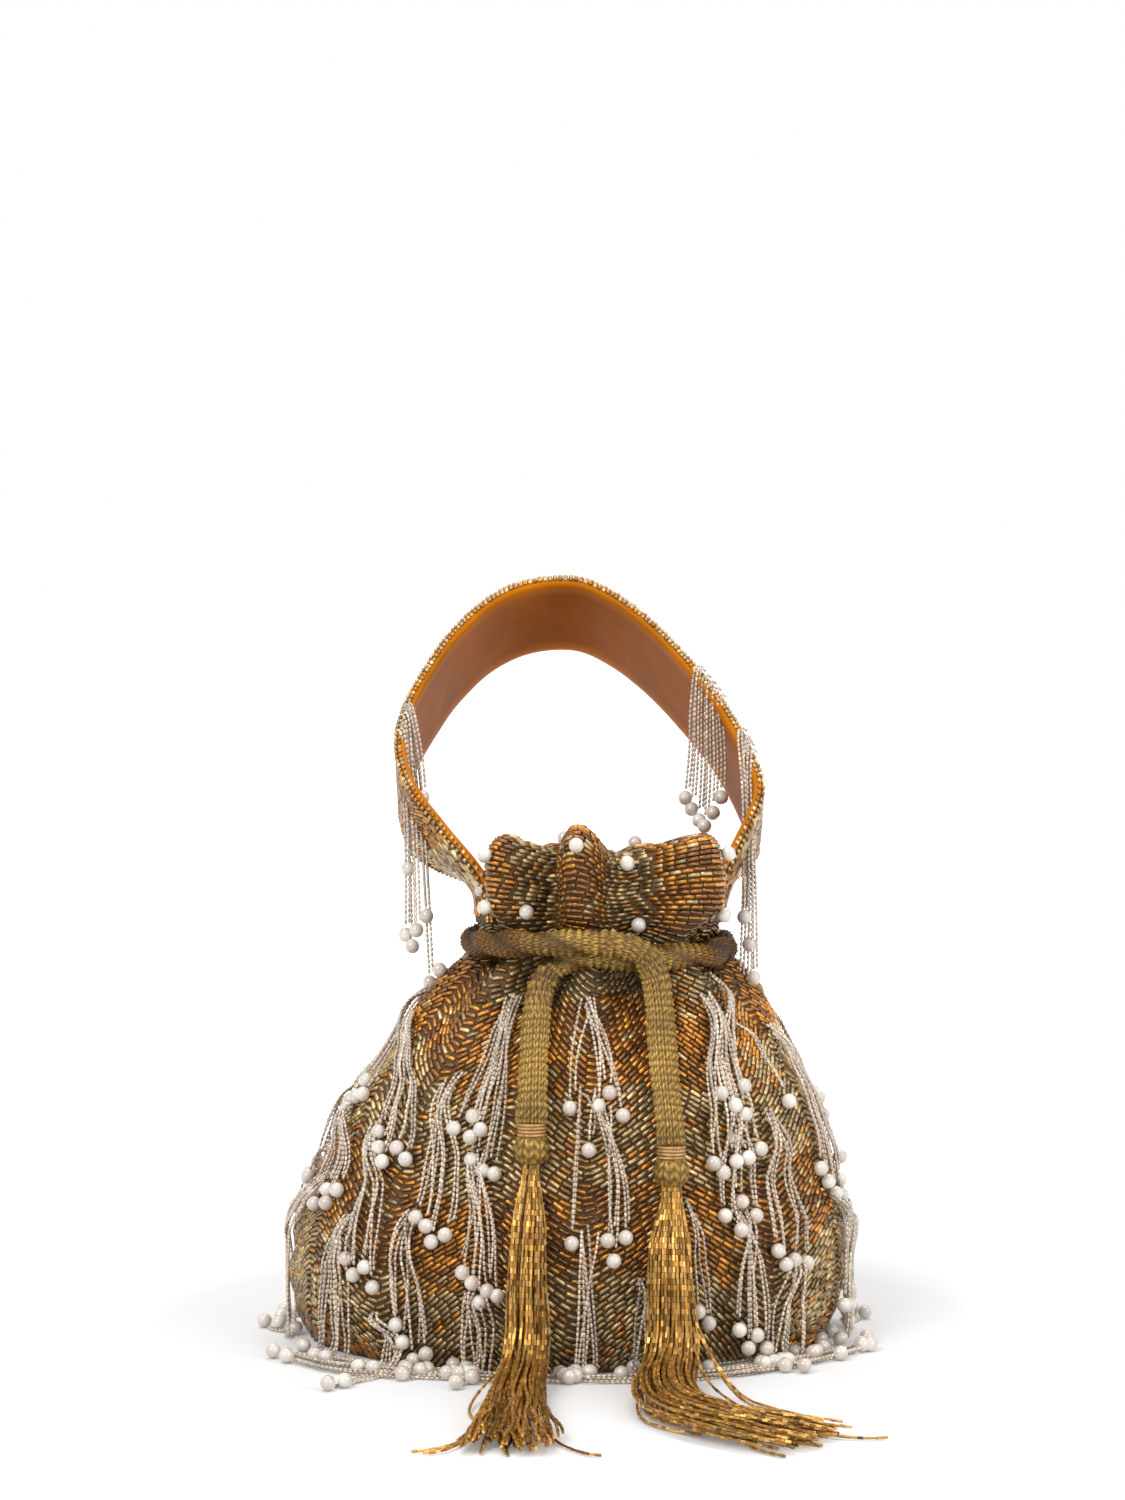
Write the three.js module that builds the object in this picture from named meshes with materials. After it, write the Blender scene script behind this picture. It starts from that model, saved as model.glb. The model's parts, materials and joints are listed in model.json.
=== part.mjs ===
// A beaded potli bag: a gathered drawstring pouch on a stiff oval base, with a frilled neck, a knitted
// drawstring ending in two knots and tassels, a stiff carrying strap that leans back, and fringe clusters.
// Millimetres, +Z up, origin at the middle of the base on the floor, the front of the bag towards -Y.
import * as THREE from "three";

// Pouch
const NECK_HEIGHT = 146;
const NECK_HALF_WIDTH = 39.8;
const NECK_HALF_DEPTH = 33.3;
const NECK_SHIFT = 12; // the gathered neck sits to the right of the base
const SHIFT_POWER = 1.2; // how late on the way up it gets there
const BELLY_HALF_WIDTH = 101.5;
const BELLY_HALF_DEPTH = 71;
const CLOTH_WALL = 3.2; // cloth with its beads
const LINING_WALL = 1.2;
const LAYER_GAP = 0.6;
const BASE_THICKNESS = 4;

// Neck ruffle
const RUFFLE_HEIGHT = 38;
const RUFFLE_FLARE = 8.5;
const FLARE_TURN = 1.9; // radians of a sine that the flare goes through from neck to rim
const PLEATS = 9;
const PLEAT_AT_NECK = 2.2;
const PLEAT_AT_RIM = 5;
const PLEATS_FULL = 0.67; // share of the ruffle's height at which the pleats have their full depth
const PLEATS_BY_STRAP = 0.35; // share of their depth that is left where the strap presses on them
const RIM_WAVE = 2.5;
const LINING_BELOW_RIM = 3;

// Strap
const STRAP_WIDTH = 40;
const STRAP_FACE_WALL = 1.2;
const STIFFENER_WALL = 0.6;
const STRAP_LINING_WALL = 0.6;
const STRAP_LAYER_GAP = 0.8;
const STRAP_STEPS = 48;
const STRAP_STEPS_ACROSS = 4;
const HANDLE_RISE = 111;
const HANDLE_HALF_SPAN = 65;
const HANDLE_SHIFT = 5;
const HANDLE_LEAN = THREE.MathUtils.degToRad(40);
const LEAN_STARTS = 0.17; // share of the rise
const LEAN_BEND = 0.4 * STRAP_WIDTH; // the height over which the lean sets in
const ROOT_ABOVE_CORD = 5;
const ROOT_UPRIGHT = 0.1; // share of the rise over which the strap leaves the neck straight up
const ROOT_SPREAD = [0.9, 3]; // how far it has moved outwards by then, on the left and on the right
const ROOT_TWIST = 0.36; // share of the rise over which it turns from the neck's side to its lean
const ROOT_BUNCHING = 0.6; // how much closer together its steps are near the roots
const STRAP_HUG = 0.35; // how closely the strap's ends follow the neck's curve, 0.5 being all the way

// Drawstring, knots and tassels
const CORD_DIAMETER = 7;
const CORD_SIDES = 10;
const CORD_STEPS = 50;
const KNOT_RADIUS = 5.6;
const KNOT_HEIGHT = 11;
const END_GAP = 0.3;
const END_TILT = 0.7; // how far the slanting end of the cord reaches below its middle

// Fringe
const FRINGE_GAP = 0.6;
const FRINGE_THICKNESS = 5;
const FRINGE_WIDTH = 8;
const FLOOR_GAP = 0.5;
const FLOOR_TAPER = 0.3; // share of its thickness that a cluster loses where it lies on the floor
const STRAP_FRINGE_STEPS = 3;
// How a strap's cluster falls: shares of its step aside and forward, and of its drop
const STRAP_FRINGE_FALL = [[0.7, 0.18], [1, 0.45], [1, 1]];

const SEGMENTS = 63;
const GATHER_STARTS = 0.55; // share of the neck's height where the pleats begin

// How far the wall stands out between neck (0) and belly (1), against height as a share of the neck's
const BELLY_CURVE = [
  [0, 0.87], [0.11, 0.98], [0.25, 0.99], [0.43, 0.86], [0.6, 0.71],
  [0.75, 0.475], [0.87, 0.22], [0.93, 0.06], [0.97, 0], [1, 0],
];

// The strap's middle line, from the left root to the right: share of the half span, share of the rise
const HANDLE_CURVE = [
  [-0.78, 0.23], [-0.93, 0.33], [-1.0, 0.45], [-0.96, 0.57], [-0.86, 0.68], [-0.7, 0.81],
  [-0.48, 0.92], [-0.26, 0.97], [0, 0.975], [0.2, 0.925], [0.4, 0.84], [0.62, 0.71],
  [0.8, 0.58], [0.94, 0.43], [1.0, 0.31],
];

// The drawstring's middle line: up from the left knot, behind the front stretch to the right, round the
// back, across the front on top of itself, and down to the right knot
const CORD_ROUTE = [
  [-11.6, -67.6, 88], [-11.5, -66.6, 94], [-11.2, -62.4, 101], [-10.8, -55.5, 111], [-9.8, -47, 125],
  [-7.5, -41.8, 134.5], [-1, -39.6, 141.5], [9, -40.1, 143], [27, -37.9, 142.5], [44.9, -29.4, 142],
  [55.6, -14.8, 142], [58.6, 3.4, 142], [52.8, 20.6, 142.5], [38.7, 33.3, 143], [19.9, 39.2, 144],
  [0.3, 38.6, 144.5],
  [-17.8, 30.8, 144.5], [-29.8, 17.2, 144.5], [-34.1, 0, 144], [-30.8, -15.2, 144.5], [-24.5, -27.7, 146],
  [-13.5, -39.5, 147.5], [2, -46.2, 148.5], [18, -46.4, 148], [27.5, -45.4, 144.5], [31.4, -44.2, 137],
  [33, -46, 127], [34, -52.4, 113], [35.4, -60, 97], [36.4, -65.6, 87], [36.8, -66.8, 80],
];

// Fringe clusters on the pouch: angle from the front and height where the strings are sewn on, the same
// where the pearls hang, and how far the ends run out over the floor. Heights are shares of the neck's.
const BODY_FRINGES = [
  [-88, 0.87, -78, 0.623, 0], [-70, 0.808, -47, 0.521, 0], [-33, 0.836, -29, 0.521, 0],
  [-40, 0.685, -33, 0.363, 0], [-80, 0.575, -66, 0.404, 0], [-58, 0.548, -47, 0.233, 0],
  [-76, 0.397, -80, 0.027, 12], [-57, 0.178, -58, 0.027, 14], [-37, 0.301, -36, 0.048, 0],
  [-24, 0.452, -20, 0.212, 0], [0, 0.87, 1, 0.671, 0], [-1, 0.63, -1, 0.397, 0], [7, 0.616, 9, 0.363, 0],
  [3, 0.329, 4, 0.034, 0], [43, 0.836, 38, 0.527, 0], [56, 0.89, 54, 0.658, 0], [76, 0.767, 72, 0.411, 0],
  [39, 0.473, 38, 0.37, 0], [51, 0.616, 50, 0.26, 0], [37, 0.308, 38, 0.055, 0], [72, 0.356, 79, 0.027, 10],
  [50, 0.212, 53, 0.027, 12], [-45, 0.137, -47, 0.027, 12], [-19, 0.164, -18, 0.027, 10],
  [104, 0.836, 106, 0.562, 0], [139, 0.863, 139, 0.603, 0], [175, 0.849, 174, 0.575, 0],
  [212, 0.863, 211, 0.589, 0], [250, 0.836, 252, 0.575, 0], [121, 0.63, 122, 0.356, 0],
  [157, 0.616, 158, 0.329, 0], [193, 0.63, 192, 0.342, 0], [230, 0.616, 230, 0.342, 0],
  [104, 0.37, 104, 0.082, 0], [140, 0.384, 141, 0.096, 0], [173, 0.342, 174, 0.027, 10],
  [208, 0.37, 208, 0.068, 0], [251, 0.384, 250, 0.082, 0],
];

// Fringe clusters on the strap: they follow its front edge between two shares of its length, then step
// aside and forward and hang down
const STRAP_FRINGES = {
  strap_fringe_left: { from: 0.25, to: 0.13, side: 0.8, drift: -2, forward: 10, drop: 46 },
  strap_fringe_right_inner: { from: 0.706, to: 0.7, side: -5.1, drift: -2, forward: 2, drop: 48 },
  strap_fringe_right_middle: { from: 0.756, to: 0.75, side: -5.1, drift: -2, forward: 2, drop: 38 },
  strap_fringe_right_outer: { from: 0.8, to: 0.93, side: 1.5, drift: 3, forward: 7, drop: 50 },
};

// Middle lines of the tassels, and their half width and half depth along them
const TASSELS = {
  tassel_left: {
    route: [
      [-11.8, -68.2, 74.6], [-12.2, -70, 66], [-13, -75.5, 50], [-13.4, -80, 34], [-13.2, -82, 18],
      [-14, -89, 8], [-17, -106, 5.5], [-19, -134, 4.5], [-20, -172, 4],
    ],
    halfWidth: [[0, 5], [0.25, 6.3], [0.5, 8], [0.75, 11], [1, 20]],
    halfDepth: [[0, 4], [0.35, 5], [0.6, 4.2], [1, 3]],
  },
  tassel_right: {
    route: [
      [37, -67.5, 66.6], [36.9, -69.3, 58], [36.6, -74.8, 44], [36.8, -79, 30], [37, -81.5, 16],
      [36, -89, 8], [34, -103, 5.5], [36, -122, 5], [48, -138, 4.5], [64, -152, 4], [82, -166, 3.8],
    ],
    halfWidth: [[0, 5.5], [0.25, 7.5], [0.5, 9], [0.75, 13], [1, 21]],
    halfDepth: [[0, 4], [0.35, 5], [0.55, 4.2], [1, 3]],
  },
};

const FINISH = {
  beads: { color: 0x8a6a3c, roughness: 0.42, metalness: 0.35 },
  satin: { color: 0xc98a2b, roughness: 0.45, metalness: 0.0 },
  board: { color: 0x4a3a2a, roughness: 0.9, metalness: 0.0 },
  knit: { color: 0xb8923a, roughness: 0.5, metalness: 0.4 },
  tassel: { color: 0xc08a2e, roughness: 0.4, metalness: 0.4 },
  strings: { color: 0xd8cfc8, roughness: 0.35, metalness: 0.1 },
};

// Smooth value at x from a table of [x, value] rows
function along(table, x) {
  let row = 1;
  while (row < table.length - 1 && x > table[row][0]) row += 1;
  const before = table[row - 1];
  const after = table[row];
  const span = after[0] - before[0];
  const t = THREE.MathUtils.clamp((x - before[0]) / span, 0, 1);
  const slopeAt = (i) => {
    const low = table[Math.max(i - 1, 0)];
    const high = table[Math.min(i + 1, table.length - 1)];
    return (high[1] - low[1]) / (high[0] - low[0]);
  };
  const rise = t * t * (3 - 2 * t);
  const tug = t * (1 - t) * (1 - t) * slopeAt(row - 1) - t * t * (1 - t) * slopeAt(row);
  return before[1] + (after[1] - before[1]) * rise + tug * span;
}

// 0 in front of the strap's roots at either side, 1 well away from them
function clearOfStrap(angle) {
  const fromSide = Math.abs(Math.cos(angle)); // 0 at the sides, 1 at front and back
  return THREE.MathUtils.smoothstep(fromSide, 0.35, 0.85);
}

function pleatWave(angle) {
  return Math.cos(PLEATS * angle + 0.9 * Math.cos(2 * angle + 0.3));
}

// The middle of the pouch at a height
function middleX(z) {
  return NECK_SHIFT * Math.min(z / NECK_HEIGHT, 1) ** SHIFT_POWER;
}

// A point on the pouch's outside, or beneath it by inset; angle 0 is the front and a quarter turn the right
function pouchPoint(angle, z, inset = 0, share = 1) {
  const aboveNeck = Math.max(z - NECK_HEIGHT, 0) / RUFFLE_HEIGHT;
  const belly = along(BELLY_CURVE, Math.min(z / NECK_HEIGHT, 1));
  const gather = THREE.MathUtils.smoothstep(z, GATHER_STARTS * NECK_HEIGHT, NECK_HEIGHT);
  const grown = Math.min(aboveNeck / PLEATS_FULL, 1);
  const depth = PLEAT_AT_NECK * gather + (PLEAT_AT_RIM - PLEAT_AT_NECK) * grown;
  const quiet = THREE.MathUtils.lerp(PLEATS_BY_STRAP, 1, clearOfStrap(angle));
  const flare = RUFFLE_FLARE * Math.sin(Math.min(aboveNeck, 1) * FLARE_TURN) * clearOfStrap(angle);
  const out = depth * quiet * pleatWave(angle) + flare - inset;
  const halfWidth = NECK_HALF_WIDTH + (BELLY_HALF_WIDTH - NECK_HALF_WIDTH) * belly + out;
  const halfDepth = NECK_HALF_DEPTH + (BELLY_HALF_DEPTH - NECK_HALF_DEPTH) * belly + out;
  const lift = RIM_WAVE * aboveNeck * clearOfStrap(angle) * pleatWave(angle);
  return new THREE.Vector3(
    middleX(z) + halfWidth * share * Math.sin(angle),
    -halfDepth * share * Math.cos(angle),
    z + lift,
  );
}

function solid(name, geometry, finish) {
  const mesh = new THREE.Mesh(geometry, new THREE.MeshStandardMaterial(finish));
  mesh.name = name;
  return mesh;
}

// A lathed shell whose rings follow the pouch; each row of the profile is height, inset and share of radius
function pouchShell(rows) {
  const profile = rows.map(([z, inset, share]) => {
    return new THREE.Vector2(share * (BELLY_HALF_WIDTH - inset), z);
  });
  const geometry = new THREE.LatheGeometry(profile, SEGMENTS);
  const place = geometry.attributes.position;
  for (let i = 0; i < place.count; i += 1) {
    const [z, inset, share] = rows[i % rows.length];
    const turn = Math.floor(i / rows.length) % SEGMENTS;
    const point = pouchPoint((turn / SEGMENTS) * 2 * Math.PI, z, inset, share);
    place.setXYZ(i, point.x, point.y, point.z);
  }
  return geometry;
}

function levels(from, to, count) {
  return Array.from({ length: count + 1 }, (_, i) => from + ((to - from) * i) / count);
}

const RIM_HEIGHT = NECK_HEIGHT + RUFFLE_HEIGHT;
const LINING_FLOOR = BASE_THICKNESS + LAYER_GAP;
const LINING_RIM = RIM_HEIGHT - LINING_BELOW_RIM;

// The heights of the rings that the body and its lining share, so that their facets stay parallel
const RINGS = [
  0,
  ...levels(LINING_FLOOR, NECK_HEIGHT, 10),
  ...levels(NECK_HEIGHT, LINING_RIM, 4).slice(1),
  RIM_HEIGHT,
];

function bagBody() {
  const outside = RINGS.map((z) => [z, 0, 1]);
  const inside = RINGS.map((z) => [z, CLOTH_WALL, 1]).reverse();
  return solid("bag_body", pouchShell([...outside, ...inside, outside[0]]), FINISH.beads);
}

function bagLining() {
  const outer = CLOTH_WALL + LAYER_GAP;
  const inner = outer + LINING_WALL;
  const heights = RINGS.slice(1, -1);
  const bottom = LINING_FLOOR + LINING_WALL;
  const outside = heights.map((z) => [z, outer, 1]);
  const inside = heights.map((z) => [Math.max(z, bottom), inner, 1]).reverse();
  const rows = [[LINING_FLOOR, outer, 0], ...outside, ...inside, [bottom, inner, 0]];
  return solid("bag_lining", pouchShell(rows), FINISH.satin);
}

function basePanel() {
  const inset = CLOTH_WALL + LAYER_GAP;
  const rows = [
    [0, inset, 0],
    [0, inset, 1],
    [BASE_THICKNESS, inset, 1],
    [BASE_THICKNESS, inset, 0],
  ];
  return solid("base_panel", pouchShell(rows), FINISH.board);
}

// A bar with a rectangular section, bent by place(across, along, up), each running from 0 to 1
function bentBar(acrossSteps, alongSteps, place) {
  const geometry = new THREE.BoxGeometry(1, 1, 1, acrossSteps, alongSteps, 1);
  const corner = geometry.attributes.position;
  for (let i = 0; i < corner.count; i += 1) {
    const point = place(corner.getX(i) + 0.5, corner.getY(i) + 0.5, corner.getZ(i) + 0.5);
    corner.setXYZ(i, point.x, point.y, point.z);
  }
  return geometry;
}

const STRAP_WALL = STRAP_FACE_WALL + STIFFENER_WALL + STRAP_LINING_WALL + 2 * STRAP_LAYER_GAP;
const ROOT_HEIGHT = NECK_HEIGHT + ROOT_ABOVE_CORD;

// The strap's middle line: it leaves the neck upright and then leans back
function strapLine() {
  const rootOut = NECK_HALF_WIDTH + PLEATS_BY_STRAP * PLEAT_AT_NECK + LAYER_GAP + STRAP_WALL / 2;
  const upright = ROOT_UPRIGHT * HANDLE_RISE;
  const spots = [
    [NECK_SHIFT - rootOut, ROOT_HEIGHT],
    [NECK_SHIFT - rootOut - ROOT_SPREAD[0], ROOT_HEIGHT + upright],
    ...HANDLE_CURVE.map(([x, z]) => [HANDLE_SHIFT + x * HANDLE_HALF_SPAN, ROOT_HEIGHT + z * HANDLE_RISE]),
    [NECK_SHIFT + rootOut + ROOT_SPREAD[1], ROOT_HEIGHT + upright],
    [NECK_SHIFT + rootOut, ROOT_HEIGHT],
  ];
  const leanStarts = ROOT_HEIGHT + LEAN_STARTS * HANDLE_RISE;
  const points = spots.map(([x, z]) => {
    const above = z - leanStarts;
    const eased = above > LEAN_BEND ? above : (Math.max(above + LEAN_BEND, 0) ** 2) / (4 * LEAN_BEND);
    return new THREE.Vector3(x, eased * Math.tan(HANDLE_LEAN), z);
  });
  return new THREE.CatmullRomCurve3(points, false, "centripetal");
}

const STRAP_LINE = strapLine();

// Where the strap lies at a share of its length, with its directions to the front edge and outwards
function strapFrame(t) {
  const spot = STRAP_LINE.getPointAt(t);
  const tangent = STRAP_LINE.getTangentAt(t);
  const freed = THREE.MathUtils.smoothstep(spot.z, ROOT_HEIGHT, ROOT_HEIGHT + ROOT_TWIST * HANDLE_RISE);
  const lean = HANDLE_LEAN * freed;
  const front = new THREE.Vector3(0, -Math.cos(lean), Math.sin(lean));
  front.addScaledVector(tangent, -front.dot(tangent)).normalize();
  return { spot, freed, front, outward: new THREE.Vector3().crossVectors(front, tangent) };
}

// One layer of the strap, between two distances outwards from its lining side
function strapLayer(name, from, to, finish) {
  const geometry = bentBar(STRAP_STEPS_ACROSS, STRAP_STEPS, (across, step, up) => {
    const t = THREE.MathUtils.lerp(step, 0.5 - 0.5 * Math.cos(step * Math.PI), ROOT_BUNCHING);
    const { spot, freed, front, outward } = strapFrame(t);
    const sideways = ((across * 2 - 1) * STRAP_WIDTH) / 2;
    const hug = ((1 - freed) * sideways ** 2 * NECK_HALF_WIDTH * STRAP_HUG) / NECK_HALF_DEPTH ** 2;
    const lift = from + (to - from) * up - STRAP_WALL / 2 - hug;
    return spot.addScaledVector(front, sideways).addScaledVector(outward, lift);
  });
  return solid(name, geometry, finish);
}

function strap() {
  const group = new THREE.Group();
  const stiffenerFrom = STRAP_LINING_WALL + STRAP_LAYER_GAP;
  const faceFrom = stiffenerFrom + STIFFENER_WALL + STRAP_LAYER_GAP;
  group.add(strapLayer("handle_lining", 0, STRAP_LINING_WALL, FINISH.satin));
  const stiffenerTo = stiffenerFrom + STIFFENER_WALL;
  group.add(strapLayer("handle_stiffener", stiffenerFrom, stiffenerTo, FINISH.board));
  group.add(strapLayer("handle_outer", faceFrom, faceFrom + STRAP_FACE_WALL, FINISH.beads));
  return group;
}

function vectors(points) {
  return points.map(([x, y, z]) => new THREE.Vector3(x, y, z));
}

function drawstring() {
  const section = new THREE.Shape();
  for (let i = 0; i < CORD_SIDES; i += 1) {
    const turn = (i / CORD_SIDES) * 2 * Math.PI;
    const x = (CORD_DIAMETER / 2) * Math.cos(turn);
    const y = (CORD_DIAMETER / 2) * Math.sin(turn);
    if (i === 0) section.moveTo(x, y);
    else section.lineTo(x, y);
  }
  section.closePath();
  const extrudePath = new THREE.CatmullRomCurve3(vectors(CORD_ROUTE), false, "centripetal");
  const drawn = { steps: CORD_STEPS, bevelEnabled: false, extrudePath };
  return solid("drawstring", new THREE.ExtrudeGeometry(section, drawn), FINISH.knit);
}

// A knot under the end of the drawstring, a barrel with rounded shoulders
function knot(name, cordEnd) {
  const half = KNOT_HEIGHT / 2;
  const shape = [[0, -half], [0.7, -half], [1, -half * 0.45], [1, half * 0.45], [0.7, half], [0, half]];
  const profile = shape.map(([share, y]) => new THREE.Vector2(share * KNOT_RADIUS, y));
  const mesh = solid(name, new THREE.LatheGeometry(profile, 16), FINISH.knit);
  mesh.rotation.x = Math.PI / 2;
  mesh.position.set(cordEnd[0], cordEnd[1], cordEnd[2] - END_TILT - END_GAP - half);
  return mesh;
}

// A tassel: an oval bar that hangs from its knot, meets the floor and fans out along it
function tassel(name, { route, halfWidth, halfDepth }) {
  const line = new THREE.CatmullRomCurve3(vectors(route), false, "centripetal");
  const geometry = new THREE.CylinderGeometry(1, 1, 1, 10, 22);
  const corner = geometry.attributes.position;
  for (let i = 0; i < corner.count; i += 1) {
    const t = 0.5 - corner.getY(i);
    const spot = line.getPointAt(t);
    const tangent = line.getTangentAt(t);
    const side = new THREE.Vector3(-tangent.y, tangent.x, 0);
    if (side.length() < 0.3) side.set(1, 0, 0).multiplyScalar(0.3);
    side.lerp(new THREE.Vector3(1, 0, 0), THREE.MathUtils.clamp(1 - 1.6 * t, 0, 1)).normalize();
    side.addScaledVector(tangent, -side.dot(tangent)).normalize();
    const upward = new THREE.Vector3().crossVectors(side, tangent).negate();
    spot.addScaledVector(side, corner.getX(i) * along(halfWidth, t));
    spot.addScaledVector(upward, corner.getZ(i) * along(halfDepth, t));
    corner.setXYZ(i, spot.x, spot.y, Math.max(spot.z, FLOOR_GAP));
  }
  return solid(name, geometry, FINISH.tassel);
}

// A fringe cluster: a bar that follows the pouch from where the strings are sewn on to their pearls
function bodyFringe(name, [topAngle, topHeight, endAngle, endHeight, run]) {
  const topZ = topHeight * NECK_HEIGHT;
  const endZ = endHeight * NECK_HEIGHT;
  const share = run / (run + topZ - endZ);
  const geometry = bentBar(1, 7, (across, lengthwise, up) => {
    const down = 1 - lengthwise;
    const onWall = Math.min(down / (1 - share), 1);
    const onFloor = share > 0 ? Math.max(down - (1 - share), 0) / share : 0;
    const z = THREE.MathUtils.lerp(topZ, endZ, onWall);
    const middle = THREE.MathUtils.degToRad(THREE.MathUtils.lerp(topAngle, endAngle, onWall));
    const radius = pouchPoint(middle, z).setZ(0).length();
    const angle = middle + ((across - 0.5) * FRINGE_WIDTH) / radius;
    const out = FRINGE_GAP + up * FRINGE_THICKNESS * (1 - FLOOR_TAPER * onFloor) + onFloor * run;
    const point = pouchPoint(angle, z, -out);
    if (onFloor > 0) point.z = FLOOR_GAP + up * FRINGE_THICKNESS + (1 - onFloor) * (endZ - FLOOR_GAP);
    return point;
  });
  return solid(name, geometry, FINISH.strings);
}

// A fringe cluster of the strap
function strapFringe(name, { from, to, side, drift, forward, drop }) {
  const ahead = new THREE.Vector3(side, -(FRINGE_GAP + FRINGE_THICKNESS / 2), 0);
  const points = levels(from, to, STRAP_FRINGE_STEPS).map((t) => {
    const { spot, front } = strapFrame(t);
    return spot.addScaledVector(front, STRAP_WIDTH / 2).add(ahead);
  });
  const last = points[points.length - 1];
  for (const [aside, down] of STRAP_FRINGE_FALL)
    points.push(last.clone().add(new THREE.Vector3(aside * drift, -aside * forward, -down * drop)));
  const line = new THREE.CatmullRomCurve3(points, false, "centripetal");
  const geometry = bentBar(1, 10, (across, step, up) => {
    const spot = line.getPointAt(1 - step);
    return spot.add(new THREE.Vector3((across - 0.5) * FRINGE_WIDTH, -(up - 0.5) * FRINGE_THICKNESS, 0));
  });
  return solid(name, geometry, FINISH.strings);
}

const bag = new THREE.Group();
bag.add(bagBody(), basePanel(), bagLining(), strap(), drawstring());
bag.add(knot("knot_left", CORD_ROUTE.at(0)), knot("knot_right", CORD_ROUTE.at(-1)));
for (const [name, shape] of Object.entries(TASSELS)) bag.add(tassel(name, shape));
BODY_FRINGES.forEach((row, i) => bag.add(bodyFringe(`fringe_${String(i + 1).padStart(2, "0")}`, row)));
for (const [name, row] of Object.entries(STRAP_FRINGES)) bag.add(strapFringe(name, row));

export default bag;
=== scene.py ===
"""A beaded potli bag: a gathered pouch with a frilled neck, a knitted drawstring that ends in knots and
tassels, a stiff strap that leans back, and a fringe of bead strings with pearls.

Shapes are worked out in millimetres and scaled to metres when a mesh is made. Angle 0 is the front of the
bag and a quarter turn its right."""
import json
import math
import random

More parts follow.
